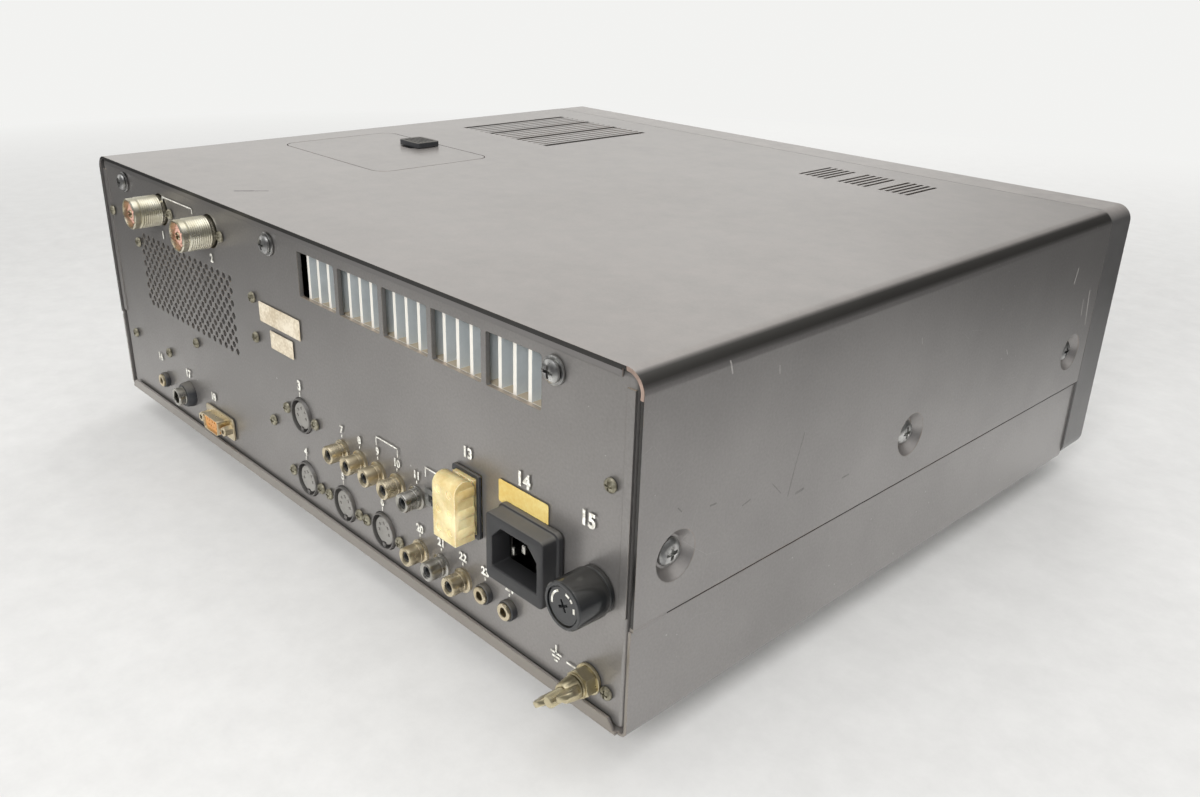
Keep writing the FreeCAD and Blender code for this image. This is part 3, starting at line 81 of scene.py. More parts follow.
# Rows of a turn that lays a piece drawn facing up so that it faces out of one side of the set.
FACING = {
    "rear": ((-1, 0, 0), (0, 0, 1), (0, 1, 0)),
    "front": ((1, 0, 0), (0, 0, -1), (0, 1, 0)),
    "left": ((0, 0, -1), (-1, 0, 0), (0, 1, 0)),
    "right": ((0, 0, 1), (1, 0, 0), (0, 1, 0)),
    "up": ((1, 0, 0), (0, 1, 0), (0, 0, 1)),
}


# ---------------------------------------------------------------- sizes and colours


def length(name, description, default, low, high):
    """A length, given here in millimetres."""
    return FloatProperty(name=name, description=description, default=default * MM, min=low * MM, max=high * MM,
        unit="LENGTH")


def tint(name, description, *shades):
    """An opaque colour."""
    return FloatVectorProperty(name=name, description=description, subtype="COLOR", size=4, min=0, max=1,
        default=(*shades, 1))


def amount(name, description, default, high, low=0):
    """A plain number with its limits."""
    return FloatProperty(name=name, description=description, default=default, min=low, max=high)


class TransceiverSizes(bpy.types.PropertyGroup):
    """Sizes of the fittings, for a maker to change."""

    thread_pitch: length("Thread Pitch", "Pitch of the antenna sockets' thread", 1.06, 0.4, 2)
    thread_depth: length("Thread Depth", "Depth of the antenna sockets' thread", 0.28, 0.1, 1)
    screw_radius: length("Small Screw Radius", "Radius of the small screw heads on the rear", 2.7, 1, 4)
    screw_height: length("Small Screw Height", "Height of the small screw heads", 1.7, 0.5, 3)
    print_depth: length("Print Depth", "Thickness of printed marks and labels", 0.08, 0.02, 0.5)
    knurls: IntProperty(name="Knurls", description="Grooves round the grip of the tuning knob", default=72, min=24,
        max=120)


class TransceiverColours(bpy.types.PropertyGroup):
    """Colours of the finishes, for a maker to change."""

    case: tint("Case Paint", "Paint of the folded covers", 0.33, 0.314, 0.305)
    panel: tint("Panel Paint", "Paint of the rear panel", 0.32, 0.305, 0.293)
    bezel: tint("Bezel Plastic", "Moulded front surround", 0.14, 0.136, 0.134)
    plastic: tint("Dark Plastic", "Moulded black fittings", 0.032, 0.033, 0.036)
    gold: tint("Gold Plate", "Plating of the jacks", 0.82, 0.73, 0.54)
    silver: tint("Silver Plate", "Plating of the antenna sockets", 0.88, 0.85, 0.72)
    steel: tint("Screw Steel", "Bright plated screws", 0.74, 0.74, 0.72)
    zinc: tint("Passivated Zinc", "Yellow passivated small screws", 0.5, 0.47, 0.36)
    brass: tint("Brass", "Earth terminal", 0.76, 0.68, 0.47)
    aluminium: tint("Aluminium", "Extruded heat sink", 0.68, 0.72, 0.73)
    nylon: tint("Nylon", "Cream plug of the supply socket", 0.82, 0.72, 0.42)
    insulator: tint("Insulator", "Moulded centre of the antenna sockets", 0.72, 0.42, 0.33)
    label: tint("Label", "Cream paper labels", 0.72, 0.65, 0.52)
    yellow: tint("Yellow Label", "Yellow label over the inlet", 0.68, 0.555, 0.22)
    white: tint("Print", "White printed marks", 0.95, 0.94, 0.86)
    glow: tint("Display Glow", "Lit segments of the display", 0.1, 0.75, 0.62)


class TransceiverStage(bpy.types.PropertyGroup):
    """The floor, the lamps and the camera, for a maker to change."""

    sky: amount("Sky", "Strength of the soft light overhead", 0.68, 2)
    gloom: amount("Gloom", "Share of that light that comes from the other directions", 0.16, 1)
    key: amount("Key Lamp", "Power of the soft lamp overhead in watts", 7.4, 200)
    fill: amount("Fill Lamp", "Power of the soft lamp behind the set in watts", 45.0, 100)
    front: amount("Front Lamp", "Power of the soft lamp over the operator's place in watts", 16.0, 100)
    floor: tint("Floor", "Colour of the floor", 0.735, 0.73, 0.715)
    backdrop: tint("Backdrop", "Colour of the paper where it rises out of sight", 0.89, 0.89, 0.875)
    place: FloatVectorProperty(name="Camera Place", description="Where the camera stands", subtype="XYZ", size=3,
        default=(-0.4066, 0.3925, 0.2654), unit="LENGTH")
    turn: FloatVectorProperty(name="Camera Turn", description="Tilt, roll and heading of the camera", subtype="EULER",
        size=3, default=(radians(66.78), radians(1.8), radians(-134.49)))
    lens: amount("Lens", "Focal length of the camera in millimetres", 31.875, 200, 10)


def sizes():
    return bpy.context.scene.transceiver_sizes


def colours():
    return bpy.context.scene.transceiver_colours


# ---------------------------------------------------------------- modelling helpers


def mm(*place):
    """A place given in millimetres."""
    return Vector(place) * MM


def clear():
    """Object mode with nothing selected."""
    if bpy.context.object and bpy.context.object.mode != "OBJECT":
        leave()
    bpy.ops.object.select_all(action="DESELECT")


def alone(*pieces):
    """Select only these pieces, with the first one active."""
    clear()
    for piece in pieces:
        piece.select_set(True)
    bpy.context.view_layer.objects.active = pieces[0]


def edit(piece):
    """Edit mode on one piece."""
    alone(piece)
    bpy.ops.object.mode_set(mode="EDIT")


def leave():
    """Back to object mode."""
    bpy.ops.object.mode_set(mode="OBJECT")


def settle(piece):
    """Bake a piece's place, turn and size into its mesh."""
    alone(piece)
    bpy.ops.object.transform_apply(location=True, rotation=True, scale=True)
    return piece


def choose(piece, kind, test):
    """In edit mode, select only the verts, edges or faces whose middle point and normal pass the test."""
    bpy.ops.mesh.select_all(action="DESELECT")
    bpy.ops.mesh.select_mode(type=kind)
    shape = bmesh.from_edit_mesh(piece.data)
    for part in {"VERT": shape.verts, "EDGE": shape.edges, "FACE": shape.faces}[kind]:
        if kind == "FACE":
            part.select_set(test(part.calc_center_median() / MM, part.normal))
        elif kind == "EDGE":
            a, b = (v.co for v in part.verts)
            part.select_set(test((a + b) / 2 / MM, (b - a).normalized()))
        else:
            part.select_set(test(part.co / MM, part.normal))
    bmesh.update_edit_mesh(piece.data)


def upright(place, along):
    """True for an edge that stands along Z."""
    return abs(along.z) > STEEP


def facing_up(place, normal):
    """True for a face that looks up."""
    return normal.z > STEEP


def draw_out(rise):
    """Extrude what is selected by a height in metres."""
    bpy.ops.mesh.extrude_region_move(TRANSFORM_OT_translate={"value": (0, 0, rise)})


def resize(*shares, centre=(0, 0, 0)):
    """Scale what is selected about a centre."""
    bpy.ops.transform.resize(value=shares, center_override=centre)


def face_outward():
    """Turn every face of the mesh in edit mode outward."""
    bpy.ops.mesh.select_all(action="SELECT")
    bpy.ops.mesh.normals_make_consistent(inside=False)


def turned(name, stations, sides=32):
    """A round piece drawn up from a disc through (height, radius) stations in millimetres."""
    clear()
    (height, radius), *rest = stations
    bpy.ops.mesh.primitive_circle_add(vertices=sides, radius=radius * MM, fill_type="NGON",
        location=(0, 0, height * MM))
    piece = bpy.context.object
    piece.name = name
    bpy.ops.object.mode_set(mode="EDIT")
    bpy.ops.mesh.select_all(action="SELECT")
    for level, size in rest:
        draw_out((level - height) * MM)
        resize(size / radius, size / radius, 1, centre=(0, 0, level * MM))
        height, radius = level, size
    face_outward()
    leave()
    return settle(piece)


def block(name, middle, size, bevel=0.0, segments=3, test=upright):
    """A box in millimetres, with the edges that pass the test rounded in edit mode."""
    clear()
    bpy.ops.mesh.primitive_cube_add(size=1, location=mm(*middle), scale=mm(*size))
    piece = settle(bpy.context.object)
    piece.name = name
    if bevel:
        bpy.ops.object.mode_set(mode="EDIT")
        choose(piece, "EDGE", test)
        bpy.ops.mesh.bevel(offset=bevel * MM, segments=segments, affect="EDGES")
        leave()
    return piece


def modify(piece, kind, **settings):
    """Add a modifier, set it and apply it."""
    alone(piece)
    bpy.ops.object.modifier_add(type=kind)
    modifier = piece.modifiers[-1]
    for name, value in settings.items():
        setattr(modifier, name, value)
    bpy.ops.object.modifier_apply(modifier=modifier.name)
    return piece


def combine(piece, tool, operation="DIFFERENCE"):
    """Cut the piece with a tool, or keep only what lies in the tool, and remove the tool."""
    modify(piece, "BOOLEAN", operation=operation, object=tool, solver="EXACT")
    alone(tool)
    bpy.ops.object.delete()
    return piece


def bore(piece, stations, sides, x, y, operation="DIFFERENCE"):
    """Cut a turned tool out of a piece at a place in millimetres, or add it there."""
    tool = turned("tool", stations, sides)
    tool.location = mm(x, y, 0)
    combine(piece, tool, operation)


def cut_across(piece, middle, size, angles=(0, 90)):
    """Cut a bar out of a piece once for each angle about its axis, in millimetres and degrees."""
    for angle in angles:
        combine(piece, turn(block("bar", middle, size), angle))


def soften(piece, width, segments=2, angle=35):
    """Round every edge sharper than an angle, by a width in millimetres."""
    return modify(piece, "BEVEL", width=width * MM, segments=segments, limit_method="ANGLE",
        angle_limit=radians(angle), harden_normals=False)


def turn(piece, angle, axis="Z"):
    """Turn a piece by degrees about an axis through the origin."""
    piece.matrix_world = Matrix.Rotation(radians(angle), 4, axis) @ piece.matrix_world
    return settle(piece)


def seat(piece, spot, facing="rear"):
    """Lay a piece that was drawn facing up at the origin onto a spot of one side of the set."""
    piece.matrix_world = Matrix.Translation(spot) @ Matrix(FACING[facing]).to_4x4() @ piece.matrix_world
    return settle(piece)


def joined(name, pieces):
    """Several pieces as one."""
    alone(*pieces)
    if len(pieces) > 1:
        bpy.ops.object.join()
    piece = bpy.context.object
    piece.name = name
    return piece


def copy_of(piece):
    """A second piece with its own mesh."""
    alone(piece)
    bpy.ops.object.duplicate()
    return bpy.context.object


def laid_out(piece, spots, facing="rear"):
    """Copies of a piece drawn facing up, one on each spot, joined into one group."""
    copies = [piece] + [copy_of(piece) for _ in spots[1:]]
    for each, spot in zip(copies, spots):
        seat(each, spot, facing)
    return joined(piece.name, copies)


def hand_over(piece, body, slot, material, *nodes):
    """Smooth a finished piece, give it its material, tie it to its body, and hide the CAD nodes it replaces. The slot
    is not used.
    """
    settle(piece)
    bpy.ops.object.shade_smooth_by_angle(angle=radians(SMOOTH_BELOW))
    piece.data.materials.clear()
    piece.data.materials.append(FINISHES[material])
    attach(piece, body)
    if nodes:
        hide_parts(*nodes)


def fixed(piece, slot, material, *nodes):
    """Hand over a piece that stays still."""
    hand_over(piece, "chassis", slot, material, *nodes)


def phillips(name, radius, height, washer=0.0, recess=0.55):
    """A round-headed screw with a cross recess, all in millimetres."""
    head = turned(name, [(0, radius * 0.96), (0.12 * height, radius), (0.45 * height, radius * 0.97),
        (0.75 * height, radius * 0.82), (0.93 * height, radius * 0.55), (height, radius * 0.25)], 28)
    cut_across(head, (0, 0, height), (2 * recess * radius, 0.27 * radius, 1.1 * height))
    if washer:
        disc = turned("washer", [(-1.0, radius * 0.6), (-1.0, washer), (-0.25, washer), (-0.1, washer - 0.2),
            (-0.1, radius * 0.6)], 36)
        head = joined(name, [head, disc])
    return head


def lettering(name, text, height, spot, facing="rear"):
    """Plain figures of a height in millimetres, as a thin printed mesh on one side of the set."""
    clear()
    bpy.ops.object.text_add()
    words = bpy.context.object
    words.data.body = text
    words.data.size = height * MM * 1.4
    words.data.align_x = words.data.align_y = "CENTER"
    words.data.extrude = sizes().print_depth / 2
    words.data.offset = 0.06 * height * MM
    words.data.resolution_u = 3
    bpy.ops.object.convert(target="MESH")
    piece = bpy.context.object
    piece.name = name
    piece.matrix_world = Matrix.Translation((0, 0, sizes().print_depth * SUNK))
    return seat(piece, spot, facing)


def bar(spot, width, height, facing="rear"):
    """A printed stroke with slightly rounded ends."""
    deep = sizes().print_depth / MM
    piece = block("stroke", (0, 0, deep * SUNK), (width, height, deep), min(width, height) * 0.3, 2)
    return seat(piece, spot, facing)


def arc(radius, width, start, sweep, level, depth=0.1, steps=20):
    """A flat curved stroke about the vertical axis: an edge spun round and given a thickness."""
    clear()
    bpy.ops.mesh.primitive_plane_add(size=width * MM, location=(radius * MM, 0, level * MM))
    piece = settle(bpy.context.object)
    bpy.ops.object.mode_set(mode="EDIT")
    choose(piece, "VERT", lambda place, normal: place.y > 0)
    bpy.ops.mesh.delete(type="VERT")
    bpy.ops.mesh.select_all(action="SELECT")
    bpy.ops.mesh.spin(steps=steps, angle=radians(sweep), center=(0, 0, level * MM), axis=(0, 0, 1))
    bpy.ops.mesh.select_all(action="SELECT")
    draw_out(depth * MM)
    face_outward()
    leave()
    return turn(piece, start)


def solids(node):
    """The (low, high) box of each separate solid of a CAD node, from the top down and then along -X."""
    mesh = frame["nodes"][node].data
    spots = [tuple(round(c, 6) for c in v.co) for v in mesh.vertices]
    home = {spot: spot for spot in spots}

    def first(spot):
        while home[spot] != spot:
            home[spot] = home[home[spot]]
            spot = home[spot]
        return spot

    for face in mesh.polygons:
        lead, *others = (spots[i] for i in face.vertices)
        for other in others:
            home[first(other)] = first(lead)
    groups = {}
    for spot in home:
        groups.setdefault(first(spot), []).append(spot)
    boxes = [(Vector(map(min, zip(*g))), Vector(map(max, zip(*g)))) for g in groups.values()]
    return sorted(boxes, key=lambda b: (-round(b[0].z, 3), -b[0].x))


def rear_spots(node):
    """The middle of each solid of a node, brought onto the rear panel."""
    return [Vector(((a.x + b.x) / 2, REAR_PLANE, (a.z + b.z) / 2)) for a, b in solids(node)]


def middle_of(node):
    low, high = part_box(node)
    return (low + high) / 2


def spot_of(node, plane=REAR_PLANE):
    """The middle of a node, brought onto a plane across the set."""
    middle = middle_of(node)
    return Vector((middle.x, plane, middle.z))


def mount_spot(name):
    """The place of a mount, brought onto the rear panel."""
    x, _, z = next(m["pos_m"] for m in frame["record"]["mounts"] if m["name"] == name)
    return Vector((x, REAR_PLANE, z))


def on_rear(x, height):
    """A spot of the rear panel, across and above the underside of the case, in millimetres."""
    return Vector((x * MM, REAR_PLANE, CASE_BASE + height * MM))


# ---------------------------------------------------------------- shader effects


def put(tree, kind, inputs=None, **settings):
    """A new shader node; an input given as a socket is linked, any other value is set."""
    made = tree.nodes.new("ShaderNode" + kind)
    for name, value in settings.items():
        setattr(made, name, value)
    for name, value in (inputs or {}).items():
        if isinstance(value, bpy.types.NodeSocket):
            tree.links.new(value, made.inputs[name])
        else:
            made.inputs[name].default_value = value
    return made


def noise(tree, place, scale, detail, roughness=0.5):
    """The outputs of cloudy noise about a place."""
    return put(tree, "TexNoise", {"Vector": place, "Scale": scale, "Detail": detail, "Roughness": roughness}).outputs


def blend(tree, factor, first, second):
    """Two colours mixed by a factor."""
    return put(tree, "Mix", {0: factor, 6: first, 7: second}, data_type="RGBA").outputs[2]


def ramp(tree, value, low, high, bottom=0.0, top=1.0):
    """A value stretched from one range to another and clamped."""
    return put(tree, "MapRange", {"Value": value, "From Min": low, "From Max": high, "To Min": bottom,
        "To Max": top}).outputs[0]


def times(tree, first, second, operation="MULTIPLY"):
    """The product of two values, or another sum of them."""
    return put(tree, "Math", {0: first, 1: second}, operation=operation).outputs[0]


def vectors(tree, first, second, operation):
    """A sum of two vectors."""
    return put(tree, "VectorMath", {0: first, 1: second}, operation=operation).outputs


def part_of(tree, vector, axis="Z"):
    """One part of a vector."""
    return put(tree, "SeparateXYZ", {0: vector}).outputs[axis]


def shape_normal(tree):
    """The surface's own normal."""
    return put(tree, "NewGeometry").outputs["Normal"]


KINDS = {float: "Float", tuple: "Color", type(None): "Vector"}


def effect(name, outputs, **inputs):
    """A shader node group over a place; returns the group, its inputs and what its outputs take."""
    group = bpy.data.node_groups.new(name, "ShaderNodeTree")
    for label, value in {"Vector": None, **inputs}.items():
        socket = group.interface.new_socket(label, in_out="INPUT", socket_type="NodeSocket" + KINDS[type(value)])
        if value is not None:
            socket.default_value = value
    for label, kind in outputs.items():
        group.interface.new_socket(label, in_out="OUTPUT", socket_type="NodeSocket" + kind)
    return group, group.nodes.new("NodeGroupInput").outputs, group.nodes.new("NodeGroupOutput").inputs


def mottle_effect():
    """Two colours clouded into each other, with a fine speckle on top."""
    group, given, result = effect("Mottle", {"Colour": "Color", "Value": "Float"}, Scale=20.0,
        First=(0.5, 0.5, 0.5, 1), Second=(0.4, 0.4, 0.4, 1), Speckle=0.1)
    value = ramp(group, noise(group, given["Vector"], given["Scale"], 5.0, 0.62)[0], 0.34, 0.66)
    fine = noise(group, given["Vector"], 900.0, 2.0)[0]
    grains = times(group, times(group, fine, 0.5, "SUBTRACT"), given["Speckle"])
    share = times(group, value, times(group, grains, 4.0), "ADD")
    group.links.new(blend(group, share, given["First"], given["Second"]), result["Colour"])
    group.links.new(share, result["Value"])
    return group


def edge_effect():
    """A mask of worn edges, and the surface's normal rounded over its edges."""
    group, given, result = effect("Worn Edges", {"Mask": "Float", "Normal": "Vector"}, Reach=0.0006, Amount=0.5)
    rounded = put(group, "Bevel", {"Radius": given["Reach"]}, samples=4)
    along = vectors(group, rounded.outputs[0], shape_normal(group), "DOT_PRODUCT")["Value"]
    lean = times(group, 1.0, along, "SUBTRACT")
    chips = noise(group, given["Vector"], 260.0, 6.0, 0.7)[0]
    large = noise(group, given["Vector"], 14.0, 2.0)[0]
    patch = ramp(group, times(group, chips, large, "ADD"), 0.86, 1.16)
    strength = times(group, ramp(group, lean, 0.02, 0.14), patch)
    group.links.new(times(group, strength, given["Amount"]), result["Mask"])
    group.links.new(rounded.outputs[0], result["Normal"])
    return group


def scratch_effect():
    """Thin broken lines left by handling."""
    group, given, result = effect("Scratches", {"Mask": "Float"}, Scale=14.0, Amount=0.4)
    warp = noise(group, given["Vector"], 9.0, 2.0)["Color"]
    bent = vectors(group, warp, (0.02, 0.02, 0.02), "MULTIPLY")[0]
    moved = vectors(group, given["Vector"], bent, "ADD")[0]
    stretched = put(group, "Mapping", {"Vector": moved, "Rotation": (0.3, 0.5, 0.7), "Scale": (1.0, 4.5, 2.0)})
    lines = put(group, "TexVoronoi", {"Vector": stretched.outputs[0], "Scale": given["Scale"]},
        feature="DISTANCE_TO_EDGE")
    thin = ramp(group, lines.outputs["Distance"], 0.0035, 0.0)
    kept = ramp(group, noise(group, given["Vector"], 23.0, 3.0)[0], 0.52, 0.66)
    group.links.new(times(group, times(group, thin, kept), given["Amount"]), result["Mask"])
    return group


def dust_effect():
    """Dust that has settled on faces turned upwards, also used as painted light that brightens the tops."""
    group, given, result = effect("Settled Dust and Top Light", {"Mask": "Float"}, Amount=0.3)
    up = ramp(group, part_of(group, shape_normal(group)), 0.35, 0.95)
    spread = ramp(group, noise(group, given["Vector"], 90.0, 6.0, 0.65)[0], 0.3, 0.7, 0.75, 1.0)
    group.links.new(times(group, times(group, up, spread), given["Amount"]), result["Mask"])
    return group


def grain_effect():
    """A fine raised grain over a given normal."""
    group, given, result = effect("Fine Grain", {"Normal": "Vector"}, Scale=800.0, Height=0.00002, Normal=None)
    rough = noise(group, given["Vector"], given["Scale"], 3.0)[0]
    bump = put(group, "Bump", {"Height": rough, "Distance": given["Height"], "Strength": 1.0,
        "Normal": given["Normal"]})
    group.links.new(bump.outputs[0], result["Normal"])
    return group


def fleck_effect():
    """Small flecks of dust, each of its own size."""
    group, given, result = effect("Flecks", {"Mask": "Float"}, Amount=0.5)
    cells = put(group, "TexVoronoi", {"Vector": given["Vector"], "Scale": 120.0}).outputs
    size = put(group, "SeparateColor", {0: cells["Color"]}).outputs[0]
    fleck = times(group, cells["Distance"], ramp(group, size, 0.45, 1.0, 0.0, 0.05), "LESS_THAN")
    group.links.new(times(group, fleck, given["Amount"]), result["Mask"])
    return group


EFFECTS = {}
FINISHES = {}


def shade(colour, share=1):
    """A colour made lighter or darker, and opaque."""
    return (*(min(1, c * share) for c in colour[:3]), 1)


def finish(name, roughness, scale, base, second=None, metallic=0.0, speckle=0.1, grain=(800.0, 0.01), edge=None,
        reach=0.5, scratches=0.0, scratch_colour=None, dust=0.0, dust_and_top_light_colour=(0.42, 0.38, 0.31), dust_from=None,
        flecks=0.0, facing=(), **sockets):
    """A material with clouds, grain, worn edges, scratches, dust (partly painted top light) and flecks; sockets are
    the shader's own.

    Each entry of facing is a direction, a height, and the colour of what looks that way above it.
    """
    material = bpy.data.materials.new(name)
    material.use_nodes = True
    tree = material.node_tree
    shader = tree.nodes["Principled BSDF"]
    place = put(tree, "TexCoord").outputs["Object"]

    def apply_effect(kind, **inputs):
        return put(tree, "Group", inputs, node_tree=EFFECTS[kind]).outputs

    clouds = apply_effect("mottle", Vector=place, Scale=scale, First=shade(base),
        Second=shade(second) if second else shade(base, 0.82), Speckle=speckle)
    colour = clouds["Colour"]
    rough = ramp(tree, clouds["Value"], 0.0, 1.0, roughness - ROUGH_SPREAD, roughness + ROUGH_SPREAD)
    edges = apply_effect("edges", Vector=place, Reach=reach * MM, Amount=1.0)
    if edge:
        colour = blend(tree, edges["Mask"], colour, shade(edge))
    if scratches:
        lines = apply_effect("scratches", Vector=place, Amount=scratches)
        colour = blend(tree, lines["Mask"], colour, shade(scratch_colour))
    # The dust mask also serves as painted light on faces turned up.
    if dust:
        settled = apply_effect("dust", Vector=place, Amount=dust)["Mask"]
        if dust_from:
            settled = times(tree, settled, times(tree, part_of(tree, place), dust_from, "GREATER_THAN"))
        colour = blend(tree, settled, colour, shade(dust_and_top_light_colour))
        rough = put(tree, "Mix", {0: settled, 2: rough, 3: DUSTY}, data_type="FLOAT").outputs[0]
    for direction, above, patch in facing:
        turned_to = vectors(tree, shape_normal(tree), direction, "DOT_PRODUCT")["Value"]
        high = times(tree, part_of(tree, place), above, "GREATER_THAN")
        colour = blend(tree, times(tree, ramp(tree, turned_to, *TURNED_TO), high), colour, shade(patch))
    if flecks:
        mask = apply_effect("flecks", Vector=place, Amount=flecks)["Mask"]
        colour = blend(tree, mask, colour, (0.7, 0.69, 0.66, 1))
    tree.links.new(colour, shader.inputs["Base Color"])
    tree.links.new(rough, shader.inputs["Roughness"])
    normal = apply_effect("grain", Vector=place, Scale=grain[0], Height=grain[1] * MM, Normal=edges["Normal"])
    tree.links.new(normal["Normal"], shader.inputs["Normal"])
    shader.inputs["Metallic"].default_value = metallic
    for label, value in sockets.items():
        shader.inputs[label.replace("_", " ").title().replace("Ior", "IOR")].default_value = value
    FINISHES[name] = material


def make_finishes():
    """Every finish of the set, by its plain name."""
    EFFECTS.update(mottle=mottle_effect(), edges=edge_effect(), scratches=scratch_effect(), dust=dust_effect(),
        grain=grain_effect(), flecks=fleck_effect())
    c = colours()
    # The near-black colour below is painted shade for gaps and grooves, and the dark olive one is a painted dark
    # reflection; neither is a colour of the paint itself.
    black, shadow = (0.035, 0.033, 0.03), (0.09, 0.085, 0.078)
    copper = (0.36, 0.24, 0.16)
    # Painted shade: the top cover's rear-facing faces are near black for the shaded groove and gap beside the rear
    # panel and for the dark line under its rear edge, and its hem between 145.4 and 148.2 mm is a darker shaded copy
    # of the case paint; the first entry is the bottom lip's own brown-grey tone.
    finish("case_paint", 0.35, 7, c.case, metallic=0.78, speckle=0.25, grain=(1400, 0.004), edge=copper, reach=0.7,
        # The dust amount of 0.5 on the case is partly painted top light.
        scratches=0.35, scratch_colour=(0.5, 0.49, 0.47), dust=0.5, dust_and_top_light_colour=PALE_DUST_AND_TOP_LIGHT, flecks=0.35,
        coat_weight=0.75, coat_roughness=0.25, facing=[(REARWARD, 0, (0.31, 0.28, 0.245)), (REARWARD, 60 * MM, black),
        (REARWARD, 145.4 * MM, shade(c.case, 0.8)), (REARWARD, 148.2 * MM, black),
        # Painted dark reflection: faces turned halfway between the top and a side get the dark olive colour, standing
        # for the dark room mirrored in the rounded bends.
        ((-0.77, 0, 0.64), 100 * MM, shadow), ((0.77, 0, 0.64), 100 * MM, shadow)])
    finish("panel_paint", 0.36, 6, c.panel, metallic=0.72, flecks=0.5, speckle=0.3, grain=(1600, 0.008),
        edge=(0.3, 0.26, 0.2), reach=0.4, scratches=0.12, scratch_colour=(0.4, 0.38, 0.35), coat_weight=0.35,
        coat_roughness=0.22, facing=[(UPWARD, 100 * MM, (0.6, 0.5, 0.4))])
    finish("bezel_plastic", 0.45, 12, c.bezel, metallic=0.4, dust=0.55, dust_and_top_light_colour=PALE_DUST_AND_TOP_LIGHT, grain=(2200, 0.012),
        edge=(0.16, 0.155, 0.15), coat_weight=0.7, coat_roughness=0.25)
    finish("front_paint", 0.46, 10, (0.05, 0.05, 0.052), grain=(1800, 0.006), edge=(0.12, 0.12, 0.12))
    finish("frame_steel", 0.38, 30, (0.36, 0.36, 0.34), metallic=0.85, speckle=0.3)
    finish("dark_plastic", 0.42, 30, c.plastic, grain=(1500, 0.006), edge=(0.09, 0.088, 0.085), dust=0.25,
        scratches=0.2, scratch_colour=(0.12, 0.12, 0.12))
    finish("inlet_plastic", 0.4, 60, (0.024, 0.024, 0.025), grain=(1500, 0.004), edge=(0.08, 0.077, 0.073), dust=0.6,
        dust_and_top_light_colour=(0.19, 0.18, 0.16), dust_from=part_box("power_inlet")[1].z - 3 * MM)
    finish("door_paint", 0.4, 9, shade(c.case, 0.97), metallic=0.78, speckle=0.25, dust=0.5, dust_and_top_light_colour=PALE_DUST_AND_TOP_LIGHT,
        grain=(1400, 0.006), edge=copper, reach=0.5, scratches=0.2, scratch_colour=(0.34, 0.33, 0.32),
        coat_weight=0.75, coat_roughness=0.25)
    finish("din_sleeve", 0.4, 80, (0.26, 0.25, 0.24), metallic=0.8, reach=0.1)
    finish("din_insert", 0.5, 60, (0.26, 0.25, 0.23), grain=(1500, 0.008))
    finish("bare_edge", 0.4, 160, (0.62, 0.46, 0.38), (0.4, 0.3, 0.25), metallic=0.7, reach=0.1)
    # Pale tan painted light for the shield behind the grille, which lies in shade.
    finish("shield_painted_light", 0.45, 60, (0.8, 0.62, 0.42), (0.36, 0.25, 0.16), metallic=0.2)
    finish("dark_scuff", 0.6, 300, (0.2, 0.19, 0.185), speckle=0.5, reach=0.02)
    finish("pale_scuff", 0.6, 300, (0.42, 0.4, 0.38), speckle=0.5, reach=0.02)
    finish("gloss_black", 0.5, 24, (0.006, 0.007, 0.008), grain=(700, 0.001), edge=(0.05, 0.053, 0.056), dust=0.06,
        coat_weight=1, coat_roughness=0.07)
    finish("gold_plate", 0.3, 110, c.gold, (0.74, 0.63, 0.43), metallic=1, speckle=0.08, grain=(600, 0.001),
        reach=0.12)
    finish("silver_plate", 0.3, 90, c.silver, (0.62, 0.57, 0.42), metallic=1, speckle=0.06, grain=(600, 0.001),
        reach=0.1)
    finish("nickel", 0.28, 100, (0.62, 0.61, 0.57), (0.42, 0.4, 0.35), metallic=1, speckle=0.05, grain=(600, 0.001),
        reach=0.12)
    finish("screw_steel", 0.32, 220, c.steel, (0.3, 0.3, 0.3), metallic=1, grain=(900, 0.001), reach=0.12)
    finish("zinc_screw", 0.36, 420, c.zinc, (0.16, 0.145, 0.1), metallic=0.75, speckle=0.3, grain=(900, 0.001),
        reach=0.1)
    finish("brass", 0.32, 110, c.brass, (0.6, 0.52, 0.33), metallic=1, speckle=0.12, grain=(900, 0.002),
        edge=(0.8, 0.72, 0.52), reach=0.2)
    finish("aluminium", 0.45, 60, c.aluminium, (0.58, 0.62, 0.63), metallic=0.4,
        facing=[(REARWARD, 0, (0.95, 0.92, 0.84)), (UPWARD, 0, (0.62, 0.52, 0.38))], grain=(1500, 0.002),
        edge=(1, 0.98, 0.92), reach=0.25)
    finish("nylon", 0.42, 55, c.nylon, (0.5, 0.36, 0.13), speckle=0.06, grain=(600, 0.006), edge=(0.92, 0.86, 0.64),
        reach=0.5, subsurface_weight=0.15, subsurface_scale=0.003)
    finish("insulator", 0.4, 200, c.insulator, (0.6, 0.36, 0.28), reach=0.1)
    finish("orange_plastic", 0.45, 180, (0.62, 0.3, 0.1), reach=0.1)
    finish("label_paper", 0.6, 60, c.label, (0.5, 0.42, 0.3), speckle=0.5, grain=(900, 0.01))
    finish("label_yellow", 0.5, 40, c.yellow, (0.62, 0.43, 0.12), speckle=0.3)
    finish("white_print", 0.6, 500, c.white, (0.5, 0.48, 0.42), speckle=0.6)
    finish("rubber", 0.75, 40, (0.022, 0.022, 0.022), grain=(1200, 0.02), dust=0.3)
    finish("knob_plastic", 0.34, 40, (0.028, 0.028, 0.03), grain=(1200, 0.004), edge=(0.1, 0.1, 0.1))
    finish("button_plastic", 0.42, 60, (0.07, 0.07, 0.075), grain=(1600, 0.006), edge=(0.16, 0.16, 0.16))
    finish("ring_metal", 0.26, 90, (0.45, 0.45, 0.46), metallic=1, grain=(1500, 0.003))
    finish("circuit_board", 0.35, 400, (0.02, 0.11, 0.05), (0.03, 0.16, 0.07), speckle=0.8)
